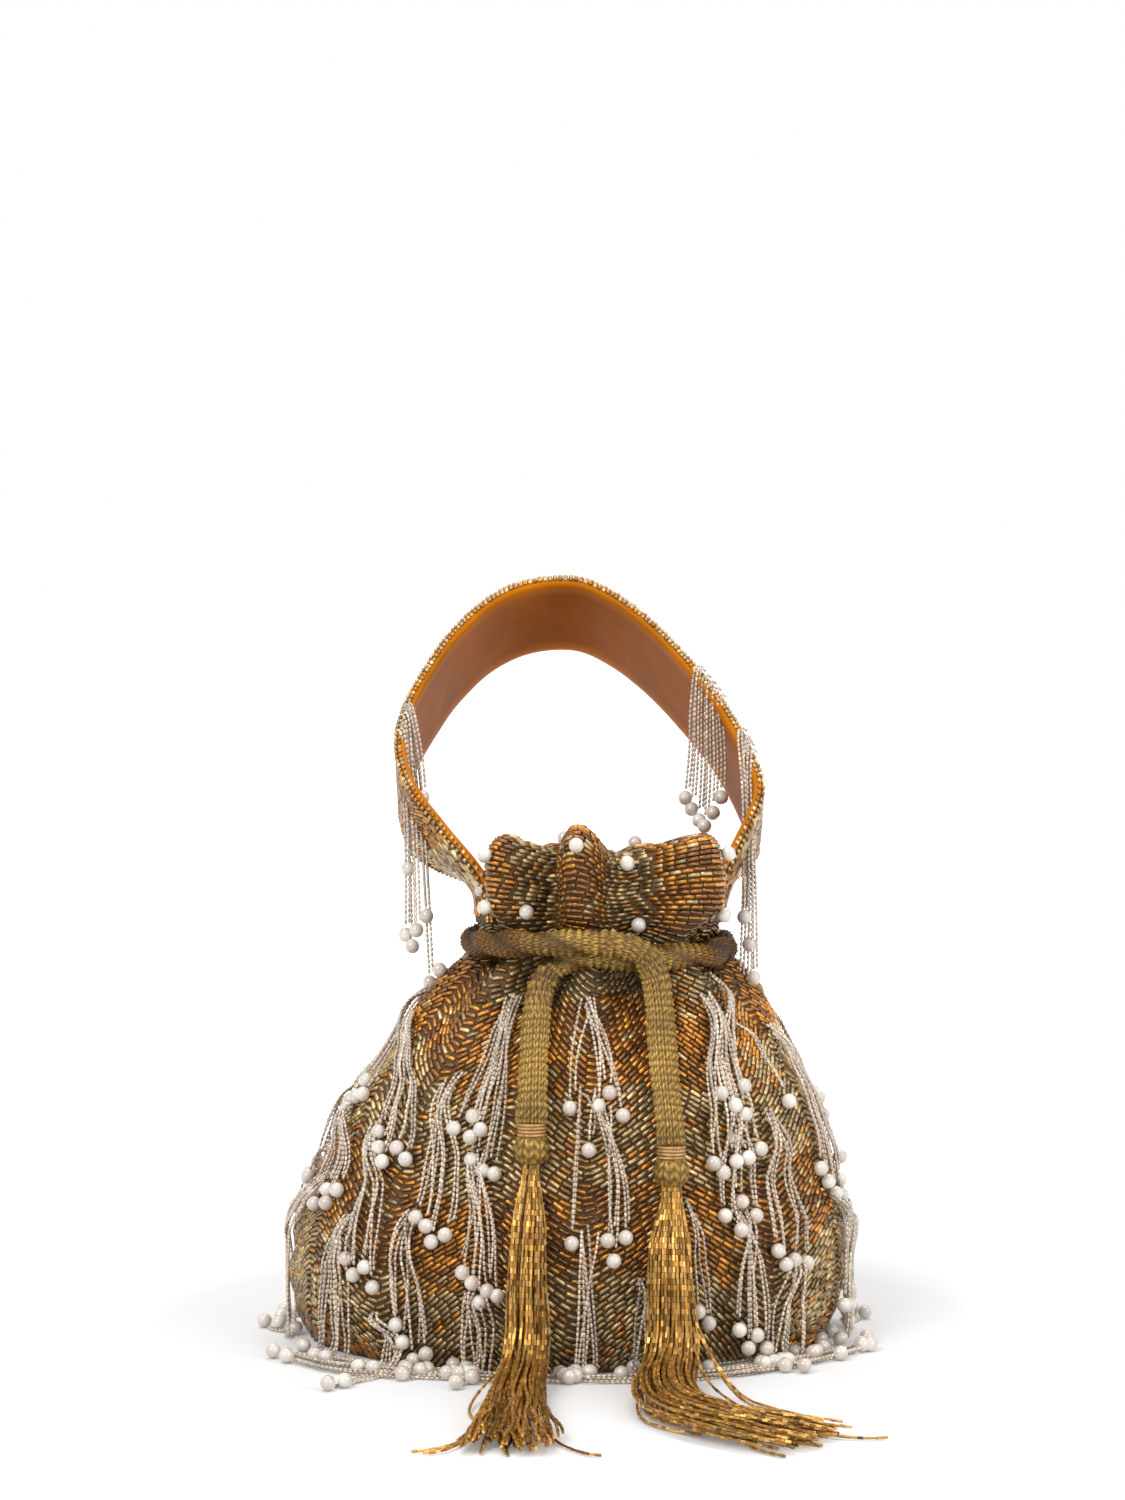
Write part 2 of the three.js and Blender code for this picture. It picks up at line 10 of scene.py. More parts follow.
import bmesh
import bpy
from bpy.props import FloatProperty, FloatVectorProperty, PointerProperty
from mathutils import Matrix, Vector, noise
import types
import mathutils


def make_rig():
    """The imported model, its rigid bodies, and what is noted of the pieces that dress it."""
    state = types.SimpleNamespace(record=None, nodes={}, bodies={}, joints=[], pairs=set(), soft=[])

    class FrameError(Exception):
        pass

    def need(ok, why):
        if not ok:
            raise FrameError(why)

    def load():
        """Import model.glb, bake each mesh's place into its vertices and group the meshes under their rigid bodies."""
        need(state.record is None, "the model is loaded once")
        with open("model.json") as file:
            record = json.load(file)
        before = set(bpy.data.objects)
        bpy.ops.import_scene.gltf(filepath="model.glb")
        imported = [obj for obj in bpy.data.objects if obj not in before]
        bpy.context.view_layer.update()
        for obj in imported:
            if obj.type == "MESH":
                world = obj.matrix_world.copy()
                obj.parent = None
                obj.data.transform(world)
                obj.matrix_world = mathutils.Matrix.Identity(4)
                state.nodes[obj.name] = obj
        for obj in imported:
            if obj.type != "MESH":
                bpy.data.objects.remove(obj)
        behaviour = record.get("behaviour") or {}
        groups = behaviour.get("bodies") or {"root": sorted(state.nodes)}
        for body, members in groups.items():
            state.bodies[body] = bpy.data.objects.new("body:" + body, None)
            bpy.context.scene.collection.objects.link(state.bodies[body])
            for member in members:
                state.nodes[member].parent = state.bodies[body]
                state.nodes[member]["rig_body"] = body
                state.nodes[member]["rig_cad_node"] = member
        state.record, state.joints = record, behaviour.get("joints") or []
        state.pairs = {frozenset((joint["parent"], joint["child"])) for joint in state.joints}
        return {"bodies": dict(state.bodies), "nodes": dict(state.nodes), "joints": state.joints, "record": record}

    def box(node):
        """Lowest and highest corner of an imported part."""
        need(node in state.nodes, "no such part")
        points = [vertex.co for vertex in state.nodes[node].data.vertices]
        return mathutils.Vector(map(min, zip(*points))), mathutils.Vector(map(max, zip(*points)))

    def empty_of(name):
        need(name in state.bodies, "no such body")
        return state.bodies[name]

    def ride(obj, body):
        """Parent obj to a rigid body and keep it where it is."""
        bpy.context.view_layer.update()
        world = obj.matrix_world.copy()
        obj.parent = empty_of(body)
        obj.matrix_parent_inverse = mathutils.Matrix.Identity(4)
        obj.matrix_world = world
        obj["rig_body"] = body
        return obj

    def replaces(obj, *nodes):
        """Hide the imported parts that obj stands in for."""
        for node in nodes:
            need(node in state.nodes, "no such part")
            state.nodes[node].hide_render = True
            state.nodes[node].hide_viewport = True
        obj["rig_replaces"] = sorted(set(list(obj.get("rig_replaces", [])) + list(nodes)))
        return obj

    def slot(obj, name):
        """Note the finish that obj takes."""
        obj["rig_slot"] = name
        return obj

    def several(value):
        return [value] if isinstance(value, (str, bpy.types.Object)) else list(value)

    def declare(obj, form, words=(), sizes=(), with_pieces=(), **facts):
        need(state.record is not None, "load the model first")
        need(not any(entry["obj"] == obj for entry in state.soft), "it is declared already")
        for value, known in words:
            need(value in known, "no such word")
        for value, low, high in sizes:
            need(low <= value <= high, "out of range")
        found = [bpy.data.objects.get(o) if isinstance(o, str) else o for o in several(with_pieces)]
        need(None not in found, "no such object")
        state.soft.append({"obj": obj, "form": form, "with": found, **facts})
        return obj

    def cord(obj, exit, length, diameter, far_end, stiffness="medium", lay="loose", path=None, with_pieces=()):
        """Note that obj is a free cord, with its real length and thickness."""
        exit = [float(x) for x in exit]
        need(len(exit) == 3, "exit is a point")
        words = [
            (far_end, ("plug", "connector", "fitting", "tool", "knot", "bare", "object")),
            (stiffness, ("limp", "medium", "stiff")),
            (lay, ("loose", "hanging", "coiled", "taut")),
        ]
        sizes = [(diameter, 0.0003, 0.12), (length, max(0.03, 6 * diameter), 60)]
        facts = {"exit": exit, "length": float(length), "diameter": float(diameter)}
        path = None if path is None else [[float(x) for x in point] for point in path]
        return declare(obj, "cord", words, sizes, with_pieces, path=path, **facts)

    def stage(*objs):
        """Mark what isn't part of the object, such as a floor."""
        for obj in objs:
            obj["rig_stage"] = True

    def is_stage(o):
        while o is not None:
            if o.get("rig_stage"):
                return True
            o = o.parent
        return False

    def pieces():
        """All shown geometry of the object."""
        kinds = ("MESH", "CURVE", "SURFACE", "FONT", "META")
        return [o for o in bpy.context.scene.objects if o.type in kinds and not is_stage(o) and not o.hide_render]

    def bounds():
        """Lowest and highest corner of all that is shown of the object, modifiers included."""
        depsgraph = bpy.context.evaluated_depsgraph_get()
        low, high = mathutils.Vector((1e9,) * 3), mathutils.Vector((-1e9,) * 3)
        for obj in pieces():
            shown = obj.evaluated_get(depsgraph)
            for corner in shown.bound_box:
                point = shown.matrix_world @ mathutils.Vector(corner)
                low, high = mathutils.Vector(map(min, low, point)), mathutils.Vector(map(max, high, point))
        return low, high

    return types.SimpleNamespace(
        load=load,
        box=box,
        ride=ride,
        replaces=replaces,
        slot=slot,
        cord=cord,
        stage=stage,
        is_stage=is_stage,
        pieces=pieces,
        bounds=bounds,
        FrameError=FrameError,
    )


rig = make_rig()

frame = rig.load()
CAD_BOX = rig.bounds()

bl_info = {
    "name": "Beaded potli bag",
    "version": (1, 0, 0),
    "blender": (4, 5, 0),
    "location": "3D View > Sidebar > Potli bag",
    "description": "Makes the soft and beaded pieces of a potli bag round its solid model",
    "category": "Object",
}

MM = 0.001
TURN = 2 * math.pi

# Pouch, as in the solid model
NECK_HEIGHT = 146
NECK_HALF_WIDTH = 39.8
NECK_HALF_DEPTH = 33.3
NECK_SHIFT = 12
SHIFT_POWER = 1.2
BELLY_HALF_WIDTH = 101.5
BELLY_HALF_DEPTH = 71
GATHER_STARTS = 0.55
BELLY_CURVE = [
    (0, 0.87), (0.11, 0.98), (0.25, 0.99), (0.43, 0.86), (0.6, 0.71),
    (0.75, 0.475), (0.87, 0.22), (0.93, 0.06), (0.97, 0), (1, 0),
]
RUFFLE_HEIGHT = 38
RUFFLE_FLARE = 8.5
FLARE_TURN = 1.9
PLEATS = 9
PLEAT_AT_NECK = 2.2
PLEAT_AT_RIM = 5
PLEATS_FULL = 0.67
PLEATS_BY_STRAP = 0.35
RIM_WAVE = 2.5
RIM_HEIGHT = NECK_HEIGHT + RUFFLE_HEIGHT
WIDEST_HEIGHT = 36  # below this the strings hang clear of the pouch

# What the cloth does beyond the solid model. A span holds the heights, angles or shares at which something
# starts, is full, begins to fade and ends.
LOBES = [  # middle and half width in degrees, how far it puffs out, how far its rim rises
    (-54, 25, 9, 1), (-10, 14, 5, 4), (50, 28, 14, 1), (118, 20, 4, -6), (160, 22, 4, -9),
    (204, 22, 4, -9), (245, 20, 4, -6),
]
LOBE_POWER = 1.3  # the higher, the narrower a lobe's crown
LOBE_STARTS = (NECK_HEIGHT + 1, NECK_HEIGHT + 15)
LOBE_AT_RIM = 0.6  # share of a lobe's puff that is left at the rim
VALLEY = 6  # how far the cloth sinks in between lobes
RIM_RISE_FRONT = -4  # the rim's height between lobes, against the solid model's
RIM_RISE_BACK = -12
FRONT_RIM_SPAN = (-98, -84, 62, 82)
RIM_ROLL = 8  # radius of the rim's roll
RIM_TURN = 2.7  # radians that the rim rolls inwards
FOLD_DEPTH = 3.6
FOLD_SPAN = (100, 138, 140, 150)
SHOULDER = 5.5  # how far the cloth bulges beneath the drawstring at the bag's sides
SHOULDER_SPAN = (106, 132, 136, 141.5)
AT_SIDE = (0.35, 0.8)
STRAP_ROOM = 3.2  # how far the cloth stands out to cover the strap's roots
STRAP_ROOM_SPAN = (143, 148, 151, 157)
BY_STRAP = (0.85, 0.97)
BUMP_DEPTH = 2.2
BUMP_WIDTH = 26
BUMPS_ROUND = 2.6  # the higher, the more bumps stand round the bag
BUMPS_END = (120, 140)

# Strap, as in the solid model
STRAP_WIDTH = 40
STRAP_WALL = 4.0
HANDLE_RISE = 111
HANDLE_HALF_SPAN = 65
HANDLE_SHIFT = 5
HANDLE_LEAN = math.radians(40)
LEAN_STARTS = 0.17
LEAN_BEND = 0.4 * STRAP_WIDTH
ROOT_HEIGHT = NECK_HEIGHT + 5
ROOT_UPRIGHT = 0.1
ROOT_SPREAD = (0.9, 3)
ROOT_TWIST = 0.36
ROOT_OUT = NECK_HALF_WIDTH + PLEATS_BY_STRAP * PLEAT_AT_NECK + 0.6 + STRAP_WALL / 2
STRAP_HUG = 0.35
HANDLE_CURVE = [
    (-0.78, 0.23), (-0.93, 0.33), (-1.0, 0.45), (-0.96, 0.57), (-0.86, 0.68), (-0.7, 0.81),
    (-0.48, 0.92), (-0.26, 0.97), (0, 0.975), (0.2, 0.925), (0.4, 0.84), (0.62, 0.71),
    (0.8, 0.58), (0.94, 0.43), (1.0, 0.31),
]

# The drawstring's middle line, in metres, from the left knot round the neck to the right knot
CORD_ROUTE = [
    (-0.0116, -0.0676, 0.088), (-0.0115, -0.0666, 0.094), (-0.0112, -0.0624, 0.101),
    (-0.0108, -0.0555, 0.111), (-0.0098, -0.047, 0.125), (-0.0075, -0.0418, 0.1345),
    (-0.001, -0.0396, 0.1415), (0.009, -0.0401, 0.143), (0.027, -0.0379, 0.1425),
    (0.0449, -0.0294, 0.142), (0.0556, -0.0148, 0.142), (0.0586, 0.0034, 0.142),
    (0.0528, 0.0206, 0.1425), (0.0387, 0.0333, 0.143), (0.0199, 0.0392, 0.144),
    (0.0003, 0.0386, 0.1445), (-0.0178, 0.0308, 0.1445), (-0.0298, 0.0172, 0.1445),
    (-0.0341, 0, 0.144), (-0.0308, -0.0152, 0.1445), (-0.0245, -0.0277, 0.146),
    (-0.0135, -0.0395, 0.1475), (0.002, -0.0462, 0.1485), (0.018, -0.0464, 0.148),
    (0.0275, -0.0454, 0.1445), (0.0314, -0.0442, 0.137), (0.033, -0.046, 0.127),
    (0.034, -0.0524, 0.113), (0.0354, -0.06, 0.097), (0.0364, -0.0656, 0.087),
    (0.0368, -0.0668, 0.08),
]

ON_NECK = (0.09, 0.14, 0.8, 0.86)  # shares of the drawstring's length that run round the neck
TWIST_LENGTH = 30
COLLAR = 0.66  # share of a knot's height where its wrapped collar starts

# Tassels: middle line, half width and depth against the share of length, and strands that left the bundle
STRANDS = 100
STRAND_STRETCH = 1.75  # a strand's bead, long against its width
STRAND_PITCH = 1.85  # from bead to bead, against the width
TASSELS = {
    "tassel_left": dict(
        route=[
            (-11.8, -68.2, 74.6), (-12.2, -70, 66), (-13, -75.5, 50), (-13.4, -80, 34), (-13.2, -82, 18),
            (-14, -90, 9), (-16, -110, 6), (-17, -140, 5), (-17, -184, 3.5),
        ],
        half_width=[(0, 5), (0.25, 6.8), (0.5, 9), (0.75, 12.5), (1, 19)],
        half_depth=[(0, 4), (0.35, 5.5), (0.6, 4.6), (1, 3)],
        stray=[
            [(-18, -110, 6), (-24, -130, 3), (-30, -152, 1), (-35, -166, 1), (-42, -174, 1), (-50, -177, 1)],
            [
                (-20, -112, 6), (-27, -130, 3), (-31, -150, 1), (-34, -168, 1.5), (-40, -177, 1),
                (-46, -180, 1),
            ],
            [(-22, -96, 9), (-29, -108, 4), (-32, -124, 1), (-28, -140, 1), (-24, -150, 1)],
            [(-12, -120, 6), (-8, -146, 3), (-2, -166, 1), (7, -180, 1), (12, -182, 1)],
        ],
    ),
    "tassel_right": dict(
        route=[
            (37, -67.5, 66.6), (36.9, -69.3, 58), (36.6, -74.8, 44), (36.8, -79, 30), (37, -81.5, 16),
            (36, -90, 9), (34, -108, 6.5), (37, -130, 5.5), (50, -148, 5), (66, -160, 4.5), (84, -171, 3.5),
        ],
        half_width=[(0, 5.5), (0.25, 8), (0.5, 10.5), (0.75, 14), (1, 18)],
        half_depth=[(0, 4), (0.35, 5.5), (0.55, 4.8), (1, 3)],
        stray=[
            [(32, -92, 12), (26, -104, 5), (24, -120, 1.5), (26, -136, 1), (34, -148, 1), (44, -156, 1.2)],
            [(33, -90, 13), (27, -102, 6), (26, -118, 2), (29, -132, 1), (38, -142, 1), (48, -150, 1.2)],
            [(45, -84, 22), (50, -92, 12), (55, -102, 5), (62, -116, 1.5), (72, -126, 1)],
            [(46, -84, 18), (53, -94, 8), (60, -106, 2), (70, -120, 1), (82, -132, 1)],
            [(44, -86, 14), (48, -98, 6), (56, -114, 2), (66, -128, 1), (78, -138, 1)],
            [(70, -150, 3), (84, -156, 1.5), (98, -160, 1), (106, -158, 1)],
            [(54, -160, 2), (60, -172, 1), (66, -180, 1), (71, -184, 1)],
        ],
    ),
}

# Fringe on the front: where a cluster is sewn on (angle in degrees, height), and where its pearls hang
FRONT_CLUSTERS = [
    ((-88, 129), [(-86, 89), (-76, 92), (-66, 94), (-72, 99), (-80, 86)]),
    ((-76, 120), [(-52, 78), (-48, 73), (-44, 79), (-39, 75), (-57, 84)]),
    ((-32, 127), [(-28, 93), (-33, 88), (-27, 85), (-24, 88), (-25, 76), (-20, 72), (-16, 71)]),
    ((-38, 101), [(-36, 57), (-32, 54), (-29, 48), (-25, 51)]),
    ((-78, 86), [(-66, 61), (-72, 54), (-63, 56), (-58, 62), (-78, 58)]),
    ((-57, 83), [(-49, 34), (-44, 38), (-41, 30), (-53, 40)]),
    ((-36, 54), [(-35, 13), (-32, 6), (-28, 9), (-38, 20)]),
    ((-24, 76), [(-20, 36), (-16, 33), (-18, 28), (-13, 31), (-23, 40)]),
    ((-2, 129), [(-7, 95), (3, 96), (7, 101), (11, 92)]),
    ((0, 99), [(2, 84), (-1, 47)]),
    ((4, 92), [(6, 51), (8, 43), (11, 52)]),
    ((41, 128), [(28, 75), (31, 71), (36, 75), (41, 76), (47, 79), (38, 84)]),
    ((54, 134), [(45, 101), (38, 94), (42, 90), (34, 99)]),
    ((74, 115), [(68, 63), (84, 61), (73, 57), (80, 55), (64, 69), (88, 70)]),
    ((40, 89), [(31, 57), (35, 51), (38, 62), (42, 56)]),
    ((50, 88), [(46, 38), (51, 39), (56, 37), (43, 44)]),
    ((37, 55), [(36, 10), (39, 15), (43, 9), (33, 18)]),
    ((72, 54), [(79, 16), (69, 18), (84, 22)]),
    ((52, 116), [(59, 93)]),
    ((24, 60), [(25, 25), (28, 20)]),
]

# Fringe whose strings reach the floor: the same, with the pearls' places on the floor
FLOOR_CLUSTERS = [
    ((-72, 64), [(-111, 7), (-105, 15), (-103, 2), (-98, -8), (-104, 30)]),
    ((-53, 50), [(-105, -39), (-97, -49), (-85, -45), (-78, -50), (-92, -34)]),
    ((-42, 18), [(-83, -90), (-75, -85), (-69, -61), (-61, -64)]),
    ((-19, 30), [(-39, -63), (-37, -88), (-29, -79), (-32, -69)]),
    ((3, 51), [(-1, -75), (6, -72), (13, -73)]),
    ((14, 34), [(21, -75), (27, -67)]),
    ((50, 36), [(84, -42), (85, -62), (76, -52), (68, -59)]),
    ((78, 50), [(91, -25), (107, 32), (113, 25), (104, 8), (97, -12)]),
]

# Fringe on the back: where each cluster is sewn on, and the height its pearls reach
BACK_CLUSTERS = [
    ((104, 122), 82), ((139, 126), 88), ((175, 124), 84), ((212, 126), 86), ((250, 122), 84),
    ((121, 92), 52), ((157, 90), 48), ((193, 92), 50), ((230, 90), 50), ((104, 54), 12),
    ((140, 56), 14), ((173, 50), 9), ((208, 54), 10), ((251, 56), 12), ((264, 92), 54),
]
BACK_FLOOR_CLUSTERS = [
    ((118, 38), [(88, 62), (76, 76), (98, 50)]),
    ((160, 34), [(32, 88), (44, 84), (20, 92)]),
    ((200, 34), [(-30, 90), (-42, 86), (-20, 86)]),
    ((240, 38), [(-80, 66), (-92, 54), (-72, 74)]),
]

# Strings that lie along the bag's foot, as places on the floor, each laid down in several layers
BASE_STRINGS = [
    [(-96, -40), (-77, -58), (-54, -67)], [(-80, -48), (-60, -62), (-38, -69)],
    [(-64, -60), (-42, -69), (-20, -73)], [(-40, -66), (-20, -72), (0, -75)],
    [(6, -74), (24, -73), (42, -68)], [(28, -70), (48, -65), (70, -53)],
    [(46, -66), (68, -55), (89, -38)], [(60, -60), (84, -44), (103, -22)],
]
BASE_LAYERS = 9
LAYER_LIFT = 0.2
STRING_ARCH = 2.6  # how far a string stands off the wall just below where it is sewn on
SEED_STRETCH = 1.75  # a seed bead, long against its width
SEED_PITCH = 1.55  # from bead to bead, against the width
BEAD_SIDE = Vector((0.3, -0.9, 0.2))  # the way that one side of each bead on a string faces

# Single pearls sewn to the ruffle and the neck: angle in degrees, height
NECK_PEARLS = [
    (-68, 176), (-45, 177), (-8, 181), (14, 176), (50, 178), (-66, 164), (-48, 160), (-36, 158),
    (52, 158), (22, 153), (-56, 141), (16, 140), (-78, 133), (96, 172), (130, 178), (118, 158),
    (162, 175), (150, 156), (196, 178), (188, 158), (228, 176), (216, 156), (256, 174), (248, 158),
]

# Strings on the strap's front edge: share of the strap's length where sewn on, and where the pearl hangs
STRAP_STRINGS = [
    (0.25, (-52, 9, 198)), (0.243, (-50.5, 6, 155)), (0.247, (-49.3, 4, 131)), (0.228, (-58, 8, 148)),
    (0.222, (-55.6, 6, 144)), (0.215, (-57, 9, 172)), (0.236, (-54, 5, 150)),
    (0.71, (46.8, 30, 192)), (0.705, (44.6, 31, 196)), (0.72, (49.5, 28, 188)), (0.73, (51.5, 26, 186)),
    (0.74, (54.5, 25, 191)), (0.75, (57.3, 22, 197)),
    (0.80, (64.6, -6, 156)), (0.81, (68, -7, 134)), (0.82, (63, -8, 131)), (0.83, (65.6, -9, 123)),
    (0.815, (66.5, -5, 146)),
]

# Rows of bugle beads: V shapes round the pouch and waves along the strap
BEAD_GAP = 0.35
LOWEST_ROW = -16.0
ROWS_PAST_RIM = 22
RUFFLE_ROWS_CLOSER = 0.86
ZIGZAGS = 8
ZIGZAG_DEPTH = 0.105
STRAP_WAVE = 6
STRAP_WAVE_LENGTH = 34

# Where the beads are gold: bands up the pouch and along the strap, and the ruffle except where it is silver
GOLD_HEIGHT = 54
GOLD_SPACING = 64
STRAP_GOLD_SPACING = 58
RUFFLE_SILVER = [(-80, -50), (-38, -24), (4, 26), (96, 128), (160, 190), (228, 262)]

# What the beads are mixed from: a chance below the number picks that bead
BLENDS = {
    "gold zone": [(0.55, "gold_bead"), (0.9, "bronze_bead"), (1, "silver_bead")],
    "silver zone": [(0.74, "silver_bead"), (0.9, "dark_bead"), (1, "gold_bead")],
    "strap gold": [(0.5, "gold_bead"), (1, "bronze_bead")],
    "strap silver": [(0.7, "silver_bead"), (1, "dark_bead")],
    "strap edge": [(0.6, "silver_bead"), (1, "gold_bead")],
}

FRONT_KEEP = math.radians(95)  # beads within this of the front make one piece, the rest the other

# The photographed view: where the eye is, and the focal length for a picture of 1125 by 1500 pixels
EYE = (-0.9, -1400, 310)
FOCAL_PIXELS = 3889
PICTURE_HEIGHT = 1500
HORIZON_ROW = 481


def linear(hex_colour):
    """A colour written as six sRGB digits, as linear red, green and blue."""
    channels = [int(hex_colour[i:i + 2], 16) / 255 for i in (0, 2, 4)]
    return tuple(c / 12.92 if c <= 0.04045 else ((c + 0.055) / 1.055) ** 2.4 for c in channels)


def size(name, default, description):
    """A length that a user may change, in metres."""
    return FloatProperty(name=name, description=description, default=default * MM, unit="LENGTH", precision=4)


def colour(name, hex_colour, description):
    """A colour that a user may change."""
    default = linear(hex_colour)
    return FloatVectorProperty(name=name, description=description, default=default, subtype="COLOR")


class PotliSizes(bpy.types.PropertyGroup):
    """Sizes of the beads, the strings and the knitted band."""

    bugle_length: size("Bugle length", 4.3, "Length of a bugle bead on the pouch")
    bugle_width: size("Bugle width", 1.65, "Width of a bugle bead on the pouch")
    row_spacing: size("Row spacing", 2.2, "Distance between rows of bugle beads")
    seed_width: size("Seed width", 1.2, "Width of a seed bead on a fringe string")
    pearl_width: size("Pearl width", 5.5, "Diameter of a pearl")
    band_width: size("Band width", 10.6, "Width of the knitted drawstring")
    strand_width: size("Strand width", 1.1, "Width of a tassel's strand")


class PotliColours(bpy.types.PropertyGroup):
    """Colours of the beads, threads and cloths."""

    gold_bead: colour("Gold bead", "AA7126", "Gold lined bugle beads")
    bronze_bead: colour("Bronze bead", "7A4E1E", "Bronze lined bugle beads")
    silver_bead: colour("Silver bead", "AE9466", "Silver lined bugle beads")
    dark_bead: colour("Dark bead", "7C5F38", "The darkest bugle beads")
    seed_bead: colour("Seed bead", "C5B4A1", "Clear lined seed beads of the fringe")
    pearl: colour("Pearl", "D9CFC4", "Pearls")
    # the knit's two colours are a painted highlight on the raised stitches and painted shade in the gaps between them
    knit_bright: colour("Knit gold", "BE9A46", "Raised stitches of the drawstring")
    knit_dark: colour("Knit shade", "553812", "Gaps between the drawstring's stitches")
    tassel: colour("Tassel", "AD8240", "Tassel strands")
    satin: colour("Satin", "965009", "Satin of the strap and the lining")
    cloth: colour("Ground cloth", "6E5232", "Cloth that the beads are sewn to")


def smoothstep(x, low, high):
    t = min(max((x - low) / (high - low), 0), 1)
    return t * t * (3 - 2 * t)


def window(x, limits):
    """1 between the middle two limits, and down to 0 smoothly at the outer two."""
    rises, full, falls, gone = limits
    return smoothstep(x, rises, full) * (1 - smoothstep(x, falls, gone))


def mix(a, b, share):
    return a + (b - a) * share


def along(table, x):
    """The smooth value at x from rows of (x, value)."""
    row = 1
    while row < len(table) - 1 and x > table[row][0]:
        row += 1
    before, after = table[row - 1], table[row]
    span = after[0] - before[0]
    t = min(max((x - before[0]) / span, 0), 1)

    def slope(i):
        low, high = table[max(i - 1, 0)], table[min(i + 1, len(table) - 1)]
        return (high[1] - low[1]) / (high[0] - low[0])

    rise = t * t * (3 - 2 * t)
    tug = t * (1 - t) * (1 - t) * slope(row - 1) - t * t * (1 - t) * slope(row)
    return before[1] + (after[1] - before[1]) * rise + tug * span


def clear_of_strap(angle):
    return smoothstep(abs(math.cos(angle)), 0.35, 0.85)


def pleat_wave(angle):
    return math.cos(PLEATS * angle + 0.9 * math.cos(2 * angle + 0.3))


def middle_x(z):
    return NECK_SHIFT * max(min(z / NECK_HEIGHT, 1), 0) ** SHIFT_POWER


def lobe_at(angle):
    """How far the ruffle puffs out and how far its rim rises at an angle."""
    degrees = (math.degrees(angle) + 100) % 360 - 100
    sunk = VALLEY * smoothstep(abs(math.cos(angle)), 0.1, 0.45)
    puff, rise = -sunk, mix(RIM_RISE_BACK, RIM_RISE_FRONT, window(degrees, FRONT_RIM_SPAN))
    for middle, half, outwards, upwards in LOBES:
        away = abs((degrees - middle + 180) % 360 - 180) / half
        if away < 1:
            share = math.cos(away * math.pi / 2) ** LOBE_POWER
            puff += (outwards + sunk) * share
            rise += (upwards - rise) * share
    return puff, rise


def rim_start(angle):
    """The height at which the rim begins to roll."""
    return RIM_HEIGHT + lobe_at(angle)[1] - RIM_ROLL


def rim_end(angle):
    """The height at which the rim has rolled all its way, were it unrolled."""
    return rim_start(angle) + RIM_ROLL * RIM_TURN


def pouch_point(angle, z, out=0.0):
    """A point on the cloth's outside, or off it by out; above the rim's height it rolls inwards."""
    rim = rim_start(angle)
    rolled = min(max(z - rim, 0) / RIM_ROLL, RIM_TURN)
    z = min(z, rim)
    above = max(z - NECK_HEIGHT, 0) / RUFFLE_HEIGHT
    aside = abs(math.sin(angle))
    puff = lobe_at(angle)[0] * smoothstep(z, *LOBE_STARTS) * mix(1, LOBE_AT_RIM, above**2)
    puff += STRAP_ROOM * smoothstep(aside, *BY_STRAP) * window(z, STRAP_ROOM_SPAN)
    puff += SHOULDER * smoothstep(aside, *AT_SIDE) * window(z, SHOULDER_SPAN)
    puff += FOLD_DEPTH * pleat_wave(angle) * window(z, FOLD_SPAN)
    ring = Vector((math.sin(angle), -math.cos(angle), z / BUMP_WIDTH)) * BUMPS_ROUND
    puff += BUMP_DEPTH * noise.noise(ring) * (1 - smoothstep(z, *BUMPS_END))
    bend = RIM_ROLL + out
    point = shell_point(angle, z, puff - RIM_ROLL + bend * math.cos(rolled))
    point.z += bend * math.sin(rolled)
    return point


def shell_point(angle, z, out):
    """A point on the solid model's outside, or off it by out."""
    above_neck = max(z - NECK_HEIGHT, 0) / RUFFLE_HEIGHT
    belly = along(BELLY_CURVE, min(z / NECK_HEIGHT, 1))
    gather = smoothstep(z, GATHER_STARTS * NECK_HEIGHT, NECK_HEIGHT)
    depth = PLEAT_AT_NECK * gather + (PLEAT_AT_RIM - PLEAT_AT_NECK) * min(above_neck / PLEATS_FULL, 1)
    clear = clear_of_strap(angle)
    flare = RUFFLE_FLARE * math.sin(min(above_neck, 1) * FLARE_TURN) * clear
    wave = pleat_wave(angle)
    stands = depth * mix(PLEATS_BY_STRAP, 1, clear) * wave + flare + out
    half_width = NECK_HALF_WIDTH + (BELLY_HALF_WIDTH - NECK_HALF_WIDTH) * belly + stands
    half_depth = NECK_HALF_DEPTH + (BELLY_HALF_DEPTH - NECK_HALF_DEPTH) * belly + stands
    lift = RIM_WAVE * above_neck * clear * wave
    x = middle_x(z) + half_width * math.sin(angle)
    return Vector((x, -half_depth * math.cos(angle), z + lift))


def pouch_normal(angle, z):
    """The direction straight out of the pouch's wall."""
    step = 0.01
    across = pouch_point(angle + step, z) - pouch_point(angle - step, z)
    up = pouch_point(angle, z + 0.3) - pouch_point(angle, z - 0.3)
    return across.cross(up).normalized()


